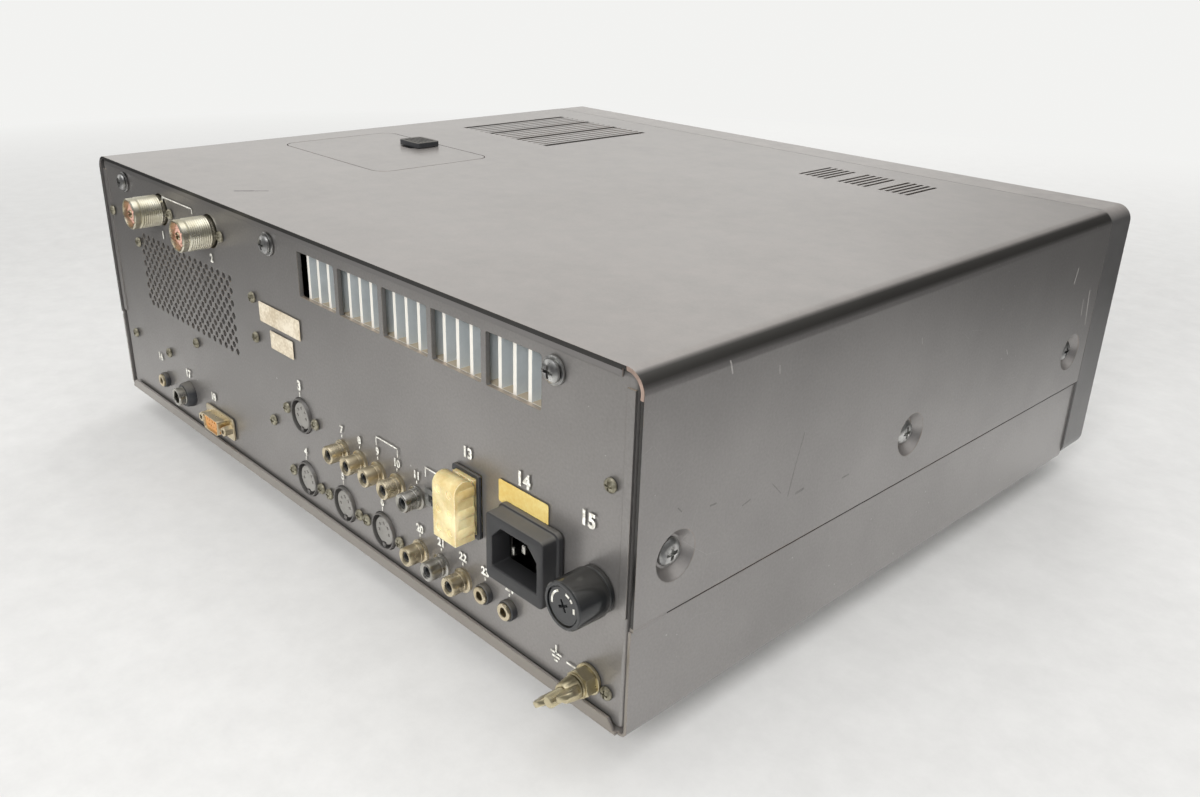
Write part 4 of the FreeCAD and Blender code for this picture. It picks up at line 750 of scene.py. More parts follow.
    finish("core_steel", 0.5, 90, (0.12, 0.11, 0.1), (0.2, 0.12, 0.07), metallic=0.4)
    # This dark finish is the speaker cone's paper and also the painted shade in the seam between the covers.
    finish("cone_paper_and_seam_shade", 0.85, 300, (0.03, 0.028, 0.026), speckle=0.6, grain=(1500, 0.05))
    finish("dial_card", 0.6, 30, (0.82, 0.8, 0.72), (0.76, 0.73, 0.62))
    finish("black_print", 0.6, 200, (0.02, 0.02, 0.02))
    finish("needle_red", 0.35, 200, (0.6, 0.03, 0.02))
    finish("display_tube", 0.1, 50, (0.02, 0.03, 0.032))
    finish("lit_figures", 0.4, 300, c.glow, emission_color=c.glow, emission_strength=1.2)
    finish("smoked_glass", 0.06, 20, (0.05, 0.05, 0.055), grain=(40, 0.001), transmission_weight=0.9, alpha=0.75)
    finish("clear_glass", 0.04, 20, (0.95, 0.97, 0.96), grain=(40, 0.001), transmission_weight=1, alpha=0.25)


# ---------------------------------------------------------------- rear panel


class TRX_OT_antenna_sockets(bpy.types.Operator):
    """Two threaded coaxial barrels with a moulded insulator and a split centre contact"""

    bl_idname = "transceiver.antenna_sockets"
    bl_label = "Antenna Sockets"

    def execute(self, context):
        spots = rear_spots("antenna_sockets")
        crest, level, thread_end = 7.95, 1.4, 11.2
        pitch, root = sizes().thread_pitch / MM, crest - sizes().thread_depth / MM
        stations = [(-2, 7.4), (0.8, 7.4), (level, root)]
        while level < thread_end:
            stations += [(level + pitch * 0.3, crest), (level + pitch * 0.55, crest), (level + pitch, root)]
            level += pitch
        stations += [(level + 0.5, 7.2), (level + 0.9, 7.8), (15.4, 7.8), (16, 7.3), (16, 6.75), (15.6, 6.6),
            (12, 6.6)]
        shell = turned("antenna_shells", stations, 48)
        cut_across(shell, (0, 0, 16), (18, 0.9, 0.9), (20, 65, 110, 155))
        fixed(laid_out(shell, spots), "socket_silver", "silver_plate", "antenna_sockets")
        insulator = turned("antenna_insulators", [(11.9, 6.5), (13, 6.5), (13.3, 6.2), (13.3, 4), (14.5, 3.6),
            (14.8, 3.3), (14.8, 2.1), (12.5, 2.1)])
        fixed(laid_out(insulator, spots), "socket_silver", "insulator")
        contact = turned("antenna_contacts", [(12.4, 2), (15, 2), (15.4, 1.8), (15.4, 1.5), (12.6, 1.4)], 24)
        cut_across(contact, (0, 0, 15), (5, 0.4, 2.4))
        fixed(laid_out(contact, spots), "jack_brass", "gold_plate")
        return {"FINISHED"}


class TRX_OT_phono_jacks(bpy.types.Operator):
    """Eight phono jacks: a washer, a rolled barrel and a black sleeve"""

    bl_idname = "transceiver.phono_jacks"
    bl_label = "Phono Jacks"

    def execute(self, context):
        spots = rear_spots("phono_jacks")
        shell = turned("phono_gold", [(-1, 4.8), (0.7, 5.2), (0.95, 4.9), (1.1, 4.2), (1.5, 4.15), (2.4, 4.15),
            (2.6, 4.0), (2.9, 4.0), (3.1, 4.15), (7.3, 4.15), (7.8, 3.95), (8, 3.6), (7.9, 3.1), (7.4, 2.35),
            (2, 2.3)], 40)
        silver = copy_of(shell)
        silver.name = "phono_silver"
        bright = [spots[4], spots[6]]
        fixed(laid_out(shell, [s for s in spots if s not in bright]), "jack_brass", "gold_plate", "phono_jacks")
        fixed(laid_out(silver, bright), "socket_silver", "nickel")
        sleeve = turned("phono_sleeves", [(1.8, 2.3), (6.9, 2.3), (7, 2.2), (7, 1.7), (6.8, 1.6), (2.2, 1.6)], 28)
        fixed(laid_out(sleeve, spots), "dark_plastic", "gloss_black")
        return {"FINISHED"}


class TRX_OT_small_jacks(bpy.types.Operator):
    """Three miniature jacks with ring nuts, and the key jack on its stepped base"""

    bl_idname = "transceiver.small_jacks"
    bl_label = "Small Jacks"

    def execute(self, context):
        spots = [mount_spot(f"small_jack_{i}") for i in (1, 2, 3)]
        key_spot = [mount_spot("key_jack")]
        nut = turned("jack_nuts", [(-0.6, 3.9), (0, 4.2), (1.8, 4.2), (2.2, 3.9), (2.2, 3.6), (0, 3.6)], 36)
        fixed(laid_out(nut, spots), "dark_plastic", "dark_plastic", "jack_sockets")
        barrel = turned("jack_barrels", [(-1, 3.5), (3.1, 3.5), (3.4, 3.2), (3.4, 2.15), (3.1, 1.85), (-6, 1.85)])
        fixed(laid_out(barrel, spots), "jack_brass", "gold_plate")
        base = turned("key_base", [(-0.6, 7), (0.2, 7), (3.2, 6.6), (4, 6), (4, 5), (1, 5)], 40)
        fixed(laid_out(base, key_spot), "dark_plastic", "dark_plastic")
        collar = turned("key_collar", [(-1, 4.9), (4.2, 4.9), (4.5, 4.6), (4.9, 4.6), (5.2, 4.9), (7.5, 4.9),
            (8, 4.5), (8, 3.6), (7.6, 3.3), (-6, 3.3)], 40)
        fixed(laid_out(collar, key_spot), "socket_silver", "nickel")
        return {"FINISHED"}


class TRX_OT_din_sockets(bpy.types.Operator):
    """Four round multi-pin sockets: a rolled sleeve with a key, and an insert with its pin holes"""

    bl_idname = "transceiver.din_sockets"
    bl_label = "Round Sockets"

    def execute(self, context):
        spots = rear_spots("din_sockets")
        sleeve = turned("din_sleeves", [(-2, 8.4), (0.6, 8.4), (0.95, 8.2), (1, 7.9), (0.8, 7.65), (-2.4, 7.6)], 48)
        key = block("key", (0, -6.7, -1), (2.2, 2, 2.6), 0.5)
        fixed(laid_out(joined("din_sleeves", [sleeve, key]), spots), "socket_silver", "din_sleeve", "din_sockets")
        insert = turned("din_inserts", [(-2.3, 6.4), (-0.5, 6.4), (-0.1, 6.1), (-0.1, 0.8)], 40)
        pin_circle = 3.7
        for i in range(5):
            angle = radians(-10 + 50 * i)
            bore(insert, [(-1.8, 0.75), (1, 0.75)], 12, pin_circle * cos(angle), pin_circle * sin(angle))
        combine(insert, block("notch", (0, -6.2, 0), (2.6, 2, 3)))
        fixed(laid_out(insert, spots), "dark_plastic", "din_insert")
        return {"FINISHED"}


class TRX_OT_data_socket(bpy.types.Operator):
    """The nine-way D socket: plated flange and shell, an orange insert with its ways, two hexagon posts"""

    bl_idname = "transceiver.data_socket"
    bl_label = "Data Socket"

    def execute(self, context):
        spot = spot_of("data_socket")
        flange = block("data_flange", (0, 0, 0.5), (30.6, 12.2, 1), 1.6)
        soften(flange, 0.25)
        shell = block("shell", (0, 0, 3.5), (17.2, 8.4, 5.8))
        edit(shell)
        choose(shell, "FACE", lambda place, normal: normal.y < -STEEP)
        resize(0.9, 1, 1)
        choose(shell, "EDGE", upright)
        bpy.ops.mesh.bevel(offset=1.6 * MM, segments=4, affect="EDGES")
        choose(shell, "FACE", facing_up)
        bpy.ops.mesh.inset(thickness=0.5 * MM)
        draw_out(-4.8 * MM)
        leave()
        soften(shell, 0.15)
        posts = []
        for side in (-12.5, 12.5):
            post = turned("post", [(0.6, 2.7), (5.2, 2.7), (5.6, 2.4), (5.6, 1.3), (1.6, 1.3)], 6)
            posts.append(seat(post, mm(side, 0, 0), "up"))
        metal = joined("data_shell", [flange, shell, *posts])
        fixed(seat(metal, spot), "jack_brass", "gold_plate", "data_socket")
        insert = block("data_insert", (0, 0, 3.2), (16, 7.2, 4), 1.2)
        way_pitch = 2.7
        for row, count in ((1.3, 5), (-1.3, 4)):
            for i in range(count):
                bore(insert, [(2, 0.6), (6, 0.6)], 10, (i - (count - 1) / 2) * way_pitch, row)
        fixed(seat(insert, spot), "jack_brass", "orange_plastic")
        return {"FINISHED"}


class TRX_OT_power_inlet(bpy.types.Operator):
    """The mains inlet: a stepped moulding, its recess with two clipped corners, and three flat pins"""

    bl_idname = "transceiver.power_inlet"
    bl_label = "Mains Inlet"

    def execute(self, context):
        spot = spot_of("power_inlet")
        body = block("inlet_body", (0, 0, 1.25), (33, 29, 2.5), 3, 5)
        edit(body)
        choose(body, "FACE", facing_up)
        bpy.ops.mesh.inset(thickness=1 * MM)
        draw_out(6.5 * MM)
        leave()
        recess = block("recess", (0, 0.6, 1), (24.4, 17.2, 18), 5, 1, lambda place, along: upright(place, along)
            and place.y > 0)
        combine(body, recess)
        soften(body, 0.7, 3)
        fixed(seat(body, spot), "dark_plastic", "inlet_plastic", "power_inlet")
        pins = []
        for a, b in solids("inlet_pins"):
            middle = (a + b) / 2
            pin = block("pin", (0, 0, 0), (2, 4, 12), 0.7, 3, lambda place, along: abs(along.x) > STEEP
                and place.z > 0)
            pins.append(seat(soften(pin, 0.25), Vector((middle.x, b.y - 6 * MM, middle.z))))
        fixed(joined("inlet_blades", pins), "plated_steel", "nickel", "inlet_pins")
        return {"FINISHED"}


class TRX_OT_fuse(bpy.types.Operator):
    """The fuse holder's collar and its deep cap with a sunk face, a cross slot and printed arcs"""

    bl_idname = "transceiver.fuse"
    bl_label = "Fuse Holder"

    def execute(self, context):
        spot = spot_of("fuse_cap")
        collar = turned("fuse_collar", [(-1, 6.3), (0, 8.8), (1.5, 8.8), (2, 8.4), (2, 6.2)], 48)
        fixed(seat(collar, spot), "dark_plastic", "gloss_black", "fuse_holder")
        cap = turned("fuse_cap_body", [(2.4, 6), (2.4, 9.05), (2.8, 9.25), (4, 9.25), (14.4, 8.95), (15.1, 8.8),
            (15.5, 8.3), (15.5, 7.4), (14.2, 7.3), (14.2, 6.9), (15, 6.8), (15, 1)], 64)
        cut_across(cap, (0, 0, 15), (4.8, 1.1, 2.6), (28, 118))
        hand_over(seat(cap, spot), "fuse_cap", "dark_plastic", "gloss_black", "fuse_cap")
        marks = joined("fuse_marks", [arc(5.4, 0.8, 195, 75, 15), arc(5.2, 0.9, 20, 22, 15, steps=6),
            arc(5.2, 0.9, 55, 14, 15, steps=5), arc(5.2, 0.9, 82, 20, 15, steps=6)])
        hand_over(seat(marks, spot), "fuse_cap", "dark_plastic", "white_print")
        return {"FINISHED"}


class TRX_OT_earth(bpy.types.Operator):
    """The earth terminal: threaded stud, broad washer, hexagon nut, and the wing nut"""

    bl_idname = "transceiver.earth"
    bl_label = "Earth Terminal"

    def execute(self, context):
        spot = mount_spot("ground_terminal")
        thread = [(5, 2.3)]
        for i in range(18):
            thread += [(6 + 0.75 * i, 2.5), (6.35 + 0.75 * i, 2.15)]
        stud = turned("earth_stud", thread + [(19.1, 2.3), (19.5, 1.9)], 24)
        washer = turned("washer", [(0, 5.9), (0.2, 6), (1, 6), (1.2, 5.8), (1.2, 2)], 48)
        nut = turned("nut", [(1.2, 5.8), (6, 5.8)], 6)
        combine(nut, turned("chamfer", [(1.2, 5.1), (1.9, 6.1), (5.3, 6.1), (6, 5.0)], 48), "INTERSECT")
        turn(nut, 12)
        upper = turned("upper_washer", [(6, 4.7), (6.2, 4.8), (6.8, 4.8), (7, 4.6), (7, 2)], 40)
        post = joined("earth_post", [stud, washer, nut, upper])
        fixed(seat(post, spot), "jack_brass", "brass", "ground_post")
        hub = turned("wing_hub", [(7.2, 4.2), (7.5, 4.5), (9, 4.4), (12.6, 3.7), (13, 3.4), (13, 2.6), (7.4, 2.6)],
            40)
        ears = []
        for side in (-1, 1):
            ear = block("ear", (0, 0, 0), (7.4, 2.2, 9), 3.4, 6, lambda place, along: abs(along.y) > STEEP
                and place.z > 0)
            edit(ear)
            choose(ear, "FACE", lambda place, normal: normal.z < -STEEP)
            resize(0.9, 1.4, 1)
            leave()
            soften(ear, 0.5, 3)
            turn(ear, side * 34, "Y")
            ears.append(seat(ear, mm(side * 7.0, 0, 15.4), "up"))
        wing = joined("wing_nut_body", [hub, *ears])
        turn(wing, 38)
        hand_over(seat(wing, spot), "wing_nut", "jack_brass", "brass", "wing_nut")
        return {"FINISHED"}


class TRX_OT_supply(bpy.types.Operator):
    """The low-voltage socket's frame and the cream link plug with its grooves and ways"""

    bl_idname = "transceiver.supply"
    bl_label = "Supply Plug"

    def execute(self, context):
        spot = spot_of("supply_plug")
        rim = block("supply_rim", (0, 0, 0.6), (16, 27, 1.2), 1)
        combine(rim, block("hole", (0, 0, 0), (13, 24, 8)))
        fixed(seat(rim, spot), "nylon_cream", "dark_plastic", "supply_socket")
        plug = block("plug_body", (0, 0, 6.9), (13.6, 25.9, 9.1), 4.5, 6, lambda place, along: abs(along.x) > STEEP
            and place.y > 0 and place.z > 8 * MM)
        combine(plug, block("neck", (0, 0, -1.5), (12.2, 23.2, 8)), "UNION")
        for rise in (-8.4, -0.4, 7.6):
            for side in (-1, 1):
                swelling = [(2.4, 2), (2.4, 3.7), (9.4, 3.7), (10.6, 3.1), (10.6, 2)]
                bore(plug, swelling, 24, side * 3.7, rise, "UNION")
                bore(plug, [(10.7, 1.5), (12.5, 1.9)], 20, side * 3.3, rise)
        soften(plug, 0.4, 3, 50)
        hand_over(seat(plug, spot), "supply_plug", "nylon_cream", "nylon", "supply_plug")
        return {"FINISHED"}


class TRX_OT_slide_switch(bpy.types.Operator):
    """The slide switch: its slotted plate with two rivets, and the ribbed lever"""

    bl_idname = "transceiver.slide_switch"
    bl_label = "Slide Switch"

    def execute(self, context):
        plate = block("switch_plate", (0, 0, 0.4), (12.9, 7.5, 0.8), 0.8)
        combine(plate, block("slot", (0, 0, 0), (7.8, 3.2, 8)))
        soften(plate, 0.15)
        rivets = [seat(turned("rivet", [(0.6, 0.8), (1.0, 0.7), (1.15, 0.35)], 16), mm(x, 0, 0), "up")
            for x in (-5.3, 5.3)]
        box = block("box", (0, 0, -3), (9.8, 4.8, 5.8))
        combine(box, block("slot", (0, 0, -1), (7.8, 3.2, 6)))
        whole = joined("switch_plate", [plate, box, *rivets])
        fixed(seat(whole, spot_of("switch_frame")), "plated_steel", "frame_steel", "switch_frame")
        lever = block("lever", (0, 0, 0), (3.2, 2.4, 6.6))
        for across in (-0.9, 0, 0.9):
            combine(lever, block("rib", (across, 0, 3.3), (0.4, 3, 0.9)))
        soften(lever, 0.15)
        hand_over(seat(lever, middle_of("switch_lever")), "switch_lever", "dark_plastic", "dark_plastic",
            "switch_lever")
        return {"FINISHED"}


SMALL_SCREWS = [(199.4, 107), (168.6, 95.3), (39.9, 96.4), (39.9, 76.9), (109.3, 54.1), (30, 37.8), (191.8, 37),
    (147.2, 37.6), (-197.3, 94), (-198.8, 13.7)]


class TRX_OT_screws(bpy.types.Operator):
    """Large bright screws on washers, small passivated ones, and the screws in the pressed cups"""

    bl_idname = "transceiver.screws"
    bl_label = "Screws"

    def execute(self, context):
        large = phillips("panel_screw_heads", 4.2, 2.3, washer=5.2)
        spots = [spot + Vector((0, 0.9 * MM, 0)) for spot in rear_spots("panel_screws")]
        fixed(laid_out(large, spots), "screw_steel", "screw_steel", "panel_screws")
        s = sizes()
        small = phillips("small_screw_heads", s.screw_radius / MM, s.screw_height / MM, recess=0.62)
        spots = [on_rear(*place) for place in SMALL_SCREWS]
        for node, reach in (("antenna_sockets", 12.5), ("din_sockets", 12.6)):
            for spot in rear_spots(node):
                spots += [spot + Vector((side * reach * MM, 0, 0)) for side in (-1, 1)]
        fixed(laid_out(small, spots), "screw_steel", "zinc_screw")
        cup = phillips("cup_screw_heads", 5.3, 2.4, recess=0.5)
        right = copy_of(cup)
        boxes = solids("cover_screws")
        groups = []
        for screw, facing, side in ((cup, "left", -1), (right, "right", 1)):
            spots = [Vector((side * (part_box("cover_screws")[1].x - 2.4 * MM), (a.y + b.y) / 2, (a.z + b.z) / 2))
                for a, b in boxes if side * (a.x + b.x) > 0]
            groups.append(laid_out(screw, spots, facing))
        fixed(joined("cup_screw_heads", groups), "screw_steel", "screw_steel", "cover_screws")
        return {"FINISHED"}


# Scuffs on the right side and on the top: the first and last point and the width, in millimetres.
DARK_SCUFFS = [((95.2, 105.2), (99, 92), 0.4), ((99, 92), (101.6, 81), 0.5), ((97, 80.6), (91.5, 81), 1.1),
    ((146.3, 93.4), (142.7, 93.2), 0.7), ((162.6, 98.6), (160.5, 96.3), 0.5), ((128.6, 87), (123.8, 88), 0.6),
    ((66.1, 76.7), (61.3, 76.8), 0.7), ((112, 90), (106, 84), 0.4)]
PALE_SCUFFS = [((141.6, 144.4), (139.9, 139.3), 0.6), ((114.7, 136.1), (114.2, 132.7), 0.4),
    ((-123.7, 126.9), (-122, 118.7), 0.7), ((-143.7, 111.9), (-147.3, 92.5), 0.8), ((-138, 108), (-139.5, 99), 0.5),
    ((-60, 100), (-62, 97), 0.5), ((20, 124), (19, 121), 0.4)]

TOP_SCUFFS = [((82.9, 164.2), (77, 156), 1.6), ((77, 156), (73.1, 150.8), 1.0)]


def scuff(start, end, width, facing):
    """A mark of wear from one point of a face to another, in millimetres."""
    start, end = Vector(start), Vector(end)
    along = Matrix(FACING[facing]).transposed() @ (end - start)
    piece = block("scuff", (0, 0, 0.01), (along.length, width, 0.02), width * 0.45, 2)
    turn(piece, degrees(atan2(along.y, along.x)))
    return seat(piece, (start + end) / 2 * MM, facing)


class TRX_OT_covers(bpy.types.Operator):
    """Dark strips of painted shade in the seam, the cover's bare cut edge, the shield and coil behind the grille with
    the shield painted pale as light, and scuffs
    """

    bl_idname = "transceiver.covers"
    bl_label = "Cover Details"

    def execute(self, context):
        upper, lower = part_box("top_cover"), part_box("bottom_cover")
        flank, front, rear = upper[1].x / MM, upper[0].y / MM, upper[1].y / MM
        gap = (upper[0].z - lower[1].z) / MM
        level = lower[1].z / MM + gap / 2
        shade_strip, tabs = [], []
        for side in (-1, 1):
            shade_strip.append(block("shade_strip", (side * (flank - 1.5), (front + rear - 16) / 2, level),
                (1.2, rear - front - 18, gap)))
            tabs.append(block("tab", (side * (flank - 1.1), rear - 8.5, level), (1.7, 16, gap)))
        # Painted shade: the dark strips fill the seam between the covers so that it reads as a shaded groove.
        fixed(joined("seam_shade_strips", shade_strip), "dark_plastic", "cone_paper_and_seam_shade")
        fixed(joined("seam_tabs", tabs), "black_paint", "case_paint")
        bend = 7.5
        edge = arc(bend - 0.75, 1.4, 98, 106, 0.02, 0.04)
        spot = mm(bend - flank, rear, CASE_TOP / MM - bend)
        fixed(seat(edge, spot), "plated_steel", "bare_edge")
        # Painted light: the plate behind the grille is pale tan so that the holes read lit, though it lies in shade.
        shield = block("inner_shield", (113, 168, 95), (112, 1.2, 60))
        fixed(shield, "plated_steel", "shield_painted_light")
        coil = turned("choke_coil", [(v * 1.6, 5.4 + 0.8 * (v % 2)) for v in range(20)], 24)
        fixed(seat(turn(coil, 78, "X"), mm(76, 160, 96), "up"), "jack_brass", "brass")
        for name, marks, material in (("dark_scuffs", DARK_SCUFFS, "dark_scuff"),
                ("pale_scuffs", PALE_SCUFFS, "pale_scuff")):
            made = [scuff((-flank, *start), (-flank, *end), width, "left") for start, end, width in marks]
            if material == "dark_scuff":
                top = CASE_TOP / MM
                for start, end, width in TOP_SCUFFS:
                    made.append(scuff((*start, top), (*end, top), width, "up"))
            fixed(joined(name, made), "black_paint", material)
        return {"FINISHED"}


# Plain figures of the rear panel: the text, where it stands across and up, and its height, in millimetres.
FIGURES = [("1", 134.5, 106, 4), ("2", 79.2, 106, 4), ("3", 2.9, 63.8, 4.6), ("4", 1.9, 31.2, 3.6),
    ("5", -30.3, 31.2, 3.6), ("6", -61.4, 31.2, 3.6), ("13", -122, 76.9, 4.2), ("14", -154, 78.2, 5.4),
    ("15", -187, 76.9, 5.4), ("16", 161.4, 31, 4), ("17", 126, 31.6, 4.4), ("18", 97, 27.6, 4)]
# Printed strokes: where they stand across and up, how wide and how tall they are.
STROKES = [(112.5, 127, 34, 0.7), (95.6, 125.8, 0.7, 3), (129.4, 125.8, 0.7, 3), (-67.2, 61.2, 16, 0.6),
    (-59.5, 59.4, 0.6, 4), (-75, 59.4, 0.6, 4), (-100.6, 60.4, 13, 0.6), (-94.4, 58.4, 0.6, 4),
    (-106.8, 58.4, 0.6, 4), (2.9, 59.8, 0.6, 2.4), (1.9, 28, 0.6, 2), (-30.3, 28, 0.6, 2), (-61.4, 28, 0.6, 2),
    (-180.5, 14.9, 5, 0.8), (-172.4, 14.9 - 2.4, 2, 0.8), (-172.4, 14.9 - 0.8, 4, 0.8), (-172.4, 14.9 + 0.8, 6, 0.8),
    (-172.4, 17.2, 0.8, 4)]
# Two rows of jacks that are numbered alike: the first number, the figures' height, the ticks' and the places across.
for first, figure_level, tick_level, row in ((7, 54.4, 51.4, (-31.8, -46, -60, -74.1, -88.1)),
        (20, 30.2, 27.2, (-88.8, -103.4, -117.6, -131.6, -146.1))):
    FIGURES += [(str(first + i), x, figure_level, 3.4) for i, x in enumerate(row)]
    STROKES += [(x, tick_level, 0.7, 1.4) for x in row]


class TRX_OT_rear_marks(bpy.types.Operator):
    """Plain figures, brackets and blank labels on the rear panel"""

    bl_idname = "transceiver.rear_marks"
    bl_label = "Rear Marks"

    def execute(self, context):
        figures = [lettering("figure", text, tall, on_rear(x, height)) for text, x, height, tall in FIGURES]
        strokes = [bar(on_rear(x, height), wide, tall) for x, height, wide, tall in STROKES]
        fixed(joined("rear_print", figures + strokes), "panel_paint", "white_print")
        deep = 2 * sizes().print_depth
        large = block("label", (0, 0, 0), (36.8, 9.6, deep / MM), 0.5)
        small = block("label", (0, 0, 0), (20.6, 8.6, deep / MM), 0.5)
        labels = [seat(large, on_rear(16, 91.4)), seat(small, on_rear(15.5, 79.9))]
        fixed(joined("blank_labels", labels), "panel_paint", "label_paper")
        yellow = block("yellow_label", (0, 0, 0), (27.1, 9.2, deep / MM), 0.9)
        fixed(seat(yellow, on_rear(-153.9, 69.5)), "panel_paint", "label_yellow")
        return {"FINISHED"}


# ---------------------------------------------------------------- front


def in_groove(place, sides):
    """True for two of every four points round a knob, which are drawn inward."""
    return round(place.xy.angle_signed(Vector((1, 0))) / tau * sides) % 4 < 2


def knob(name, radius, height, flutes):
    """A turned knob with a fluted grip and a dished top, drawn facing up; sizes in millimetres."""
    sides = flutes * 4
    piece = turned(name, [(0, radius - 0.3), (0.4, radius), (1.2, radius), (1.6, radius - 0.5),
        (height - 1.6, radius - 0.7), (height - 0.5, radius - 1.2), (height, radius - 1.9), (height, radius - 2.6),
        (height - 0.3, radius - 3.0), (height - 0.3, 0.6)], sides)
    edit(piece)
    choose(piece, "VERT", lambda place, normal: 1.3 < place.z < height - 1.2 and place.xy.length > radius - 1.4
        and in_groove(place, sides))
    factor = (radius - FLUTE_DEPTH) / radius
    resize(factor, factor, 1)
    leave()
    return piece


def pointer(name, reach, width, level):
    """A raised line that shows where a knob is set."""
    return soften(block(name, (0, reach / 2 + 1, level), (width, reach, 0.5), width * 0.3, 2), 0.1)


class TRX_OT_tuning_knob(bpy.types.Operator):
    """The large tuning knob: a skirt, a knurled grip, a flat cap with a raised finger rest, and a bright ring"""

    bl_idname = "transceiver.tuning_knob"
    bl_label = "Tuning Knob"

    def execute(self, context):
        spot = spot_of("tuning_knob", KNOB_PLANE)
        sides = sizes().knurls * 4
        body = turned("tuning_grip", [(0, 30.4), (0.4, 31), (2.6, 31), (3.2, 30.6), (5.4, 28), (6.4, 27), (8, 26.8),
            (9, 26.5), (23.6, 26.5), (24.6, 26), (25.6, 25), (26, 24), (26, 20.4), (25.4, 19.6), (24.8, 18),
            (24.7, 8)], sides)
        edit(body)
        choose(body, "VERT", lambda place, normal: 8.5 < place.z < 24 and place.xy.length > 26
            and in_groove(place, sides))
        resize(0.985, 0.985, 1)
        leave()
        hollow = turned("finger_hollow", [(24.2, 8.6), (25.2, 8.4), (25.4, 8), (25.3, 7.6), (24.98, 5), (24.92, 1.4)],
            40)
        hollow.location.x = -8.8 * MM
        plate = turned("tuning_plate", [(24, 17), (24.8, 17), (24.87, 16.8)], 48)
        body = joined("tuning_grip", [body, hollow, plate])
        hand_over(seat(body, spot, "front"), "tuning_knob", "knob_plastic", "knob_plastic", "tuning_knob")
        ring = turned("tuning_ring", [(24.7, 17.4), (25.0, 17.4), (25.15, 17.2), (25.15, 16.2), (25, 16), (24.7, 16)],
            96)
        hand_over(seat(ring, spot, "front"), "tuning_knob", "knob_plastic", "ring_metal")
        return {"FINISHED"}


class TRX_OT_small_knobs(bpy.types.Operator):
    """The channel and clarifier knobs, two stacked pairs, and their pointer lines"""

    bl_idname = "transceiver.small_knobs"
    bl_label = "Small Knobs"

    def execute(self, context):
        for node, radius, height, foot in (("channel_knob", 17, 20, 0), ("clarifier_knob", 8, 14, 0),
                ("af_gain_knob", 8.5, 18, 7.6), ("mic_gain_knob", 8.5, 18, 7.6)):
            spot = spot_of(node, KNOB_PLANE)
            piece = knob(node + "_grip", radius, height - foot, 36 if radius > 10 else 20)
            piece = seat(piece, Vector((0, 0, foot * MM)), "up")
            hand_over(seat(piece, spot, "front"), node, "knob_plastic", "knob_plastic", node)
            line = pointer(node + "_line", radius - 3, 1.0, height - 0.2)
            hand_over(seat(line, spot, "front"), node, "knob_plastic", "white_print")
        for node in ("rf_gain_ring", "power_ring"):
            spot = spot_of(node, KNOB_PLANE)
            ring = turned(node + "_grip", [(0, 13.6), (0.4, 14), (5.8, 13.9), (6.8, 13), (7, 12.4), (7, 3.6),
                (0.6, 3.5)], 72)
            for i in range(4):
                notch = block("notch", (14.2, 0, 4), (1.4, 2.4, 9), 0.5)
                combine(ring, turn(notch, 90 * i + 45))
            hand_over(seat(ring, spot, "front"), node, "knob_plastic", "knob_plastic", node)
            line = seat(pointer(node + "_line", 2.6, 1.0, 7), mm(0, 9.2, 0), "up")
            hand_over(seat(line, spot, "front"), node, "knob_plastic", "white_print")
        return {"FINISHED"}


class TRX_OT_buttons(bpy.types.Operator):
    """Push buttons with rounded caps, a dished face and a small lamp line"""

    bl_idname = "transceiver.buttons"
    bl_label = "Push Buttons"

    def execute(self, context):
        names = ["power_button"] + [f"function_button_{i}" for i in (1, 2, 3)]
        names += [f"mode_button_{i}" for i in range(1, 6)]
        for node in names:
            low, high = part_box(node)
            wide, tall = (high.x - low.x) / MM - 2, (high.z - low.z) / MM - 2
            proud = (PANEL_PLANE - low.y) / MM
            cap = block(node + "_cap", (0, 0, proud / 2 - 2), (wide, tall, proud + 4), 1.2, 4)
            edit(cap)
            choose(cap, "FACE", facing_up)
            bpy.ops.mesh.inset(thickness=0.8 * MM)
            bpy.ops.mesh.inset(thickness=1.2 * MM, depth=-0.25 * MM)
            leave()
            soften(cap, 0.3, 3, 25)
            spot = spot_of(node, PANEL_PLANE)
            hand_over(seat(cap, spot, "front"), node, "button_plastic", "button_plastic", node)
            colour = "needle_red" if node == "power_button" else "white_print"
            mark = soften(block(node + "_line", (0, tall / 2 - 2.6, proud - 0.2), (wide * 0.4, 0.7, 0.3), 0.2), 0.08)
            hand_over(seat(mark, spot, "front"), node, "button_plastic", colour)
        return {"FINISHED"}


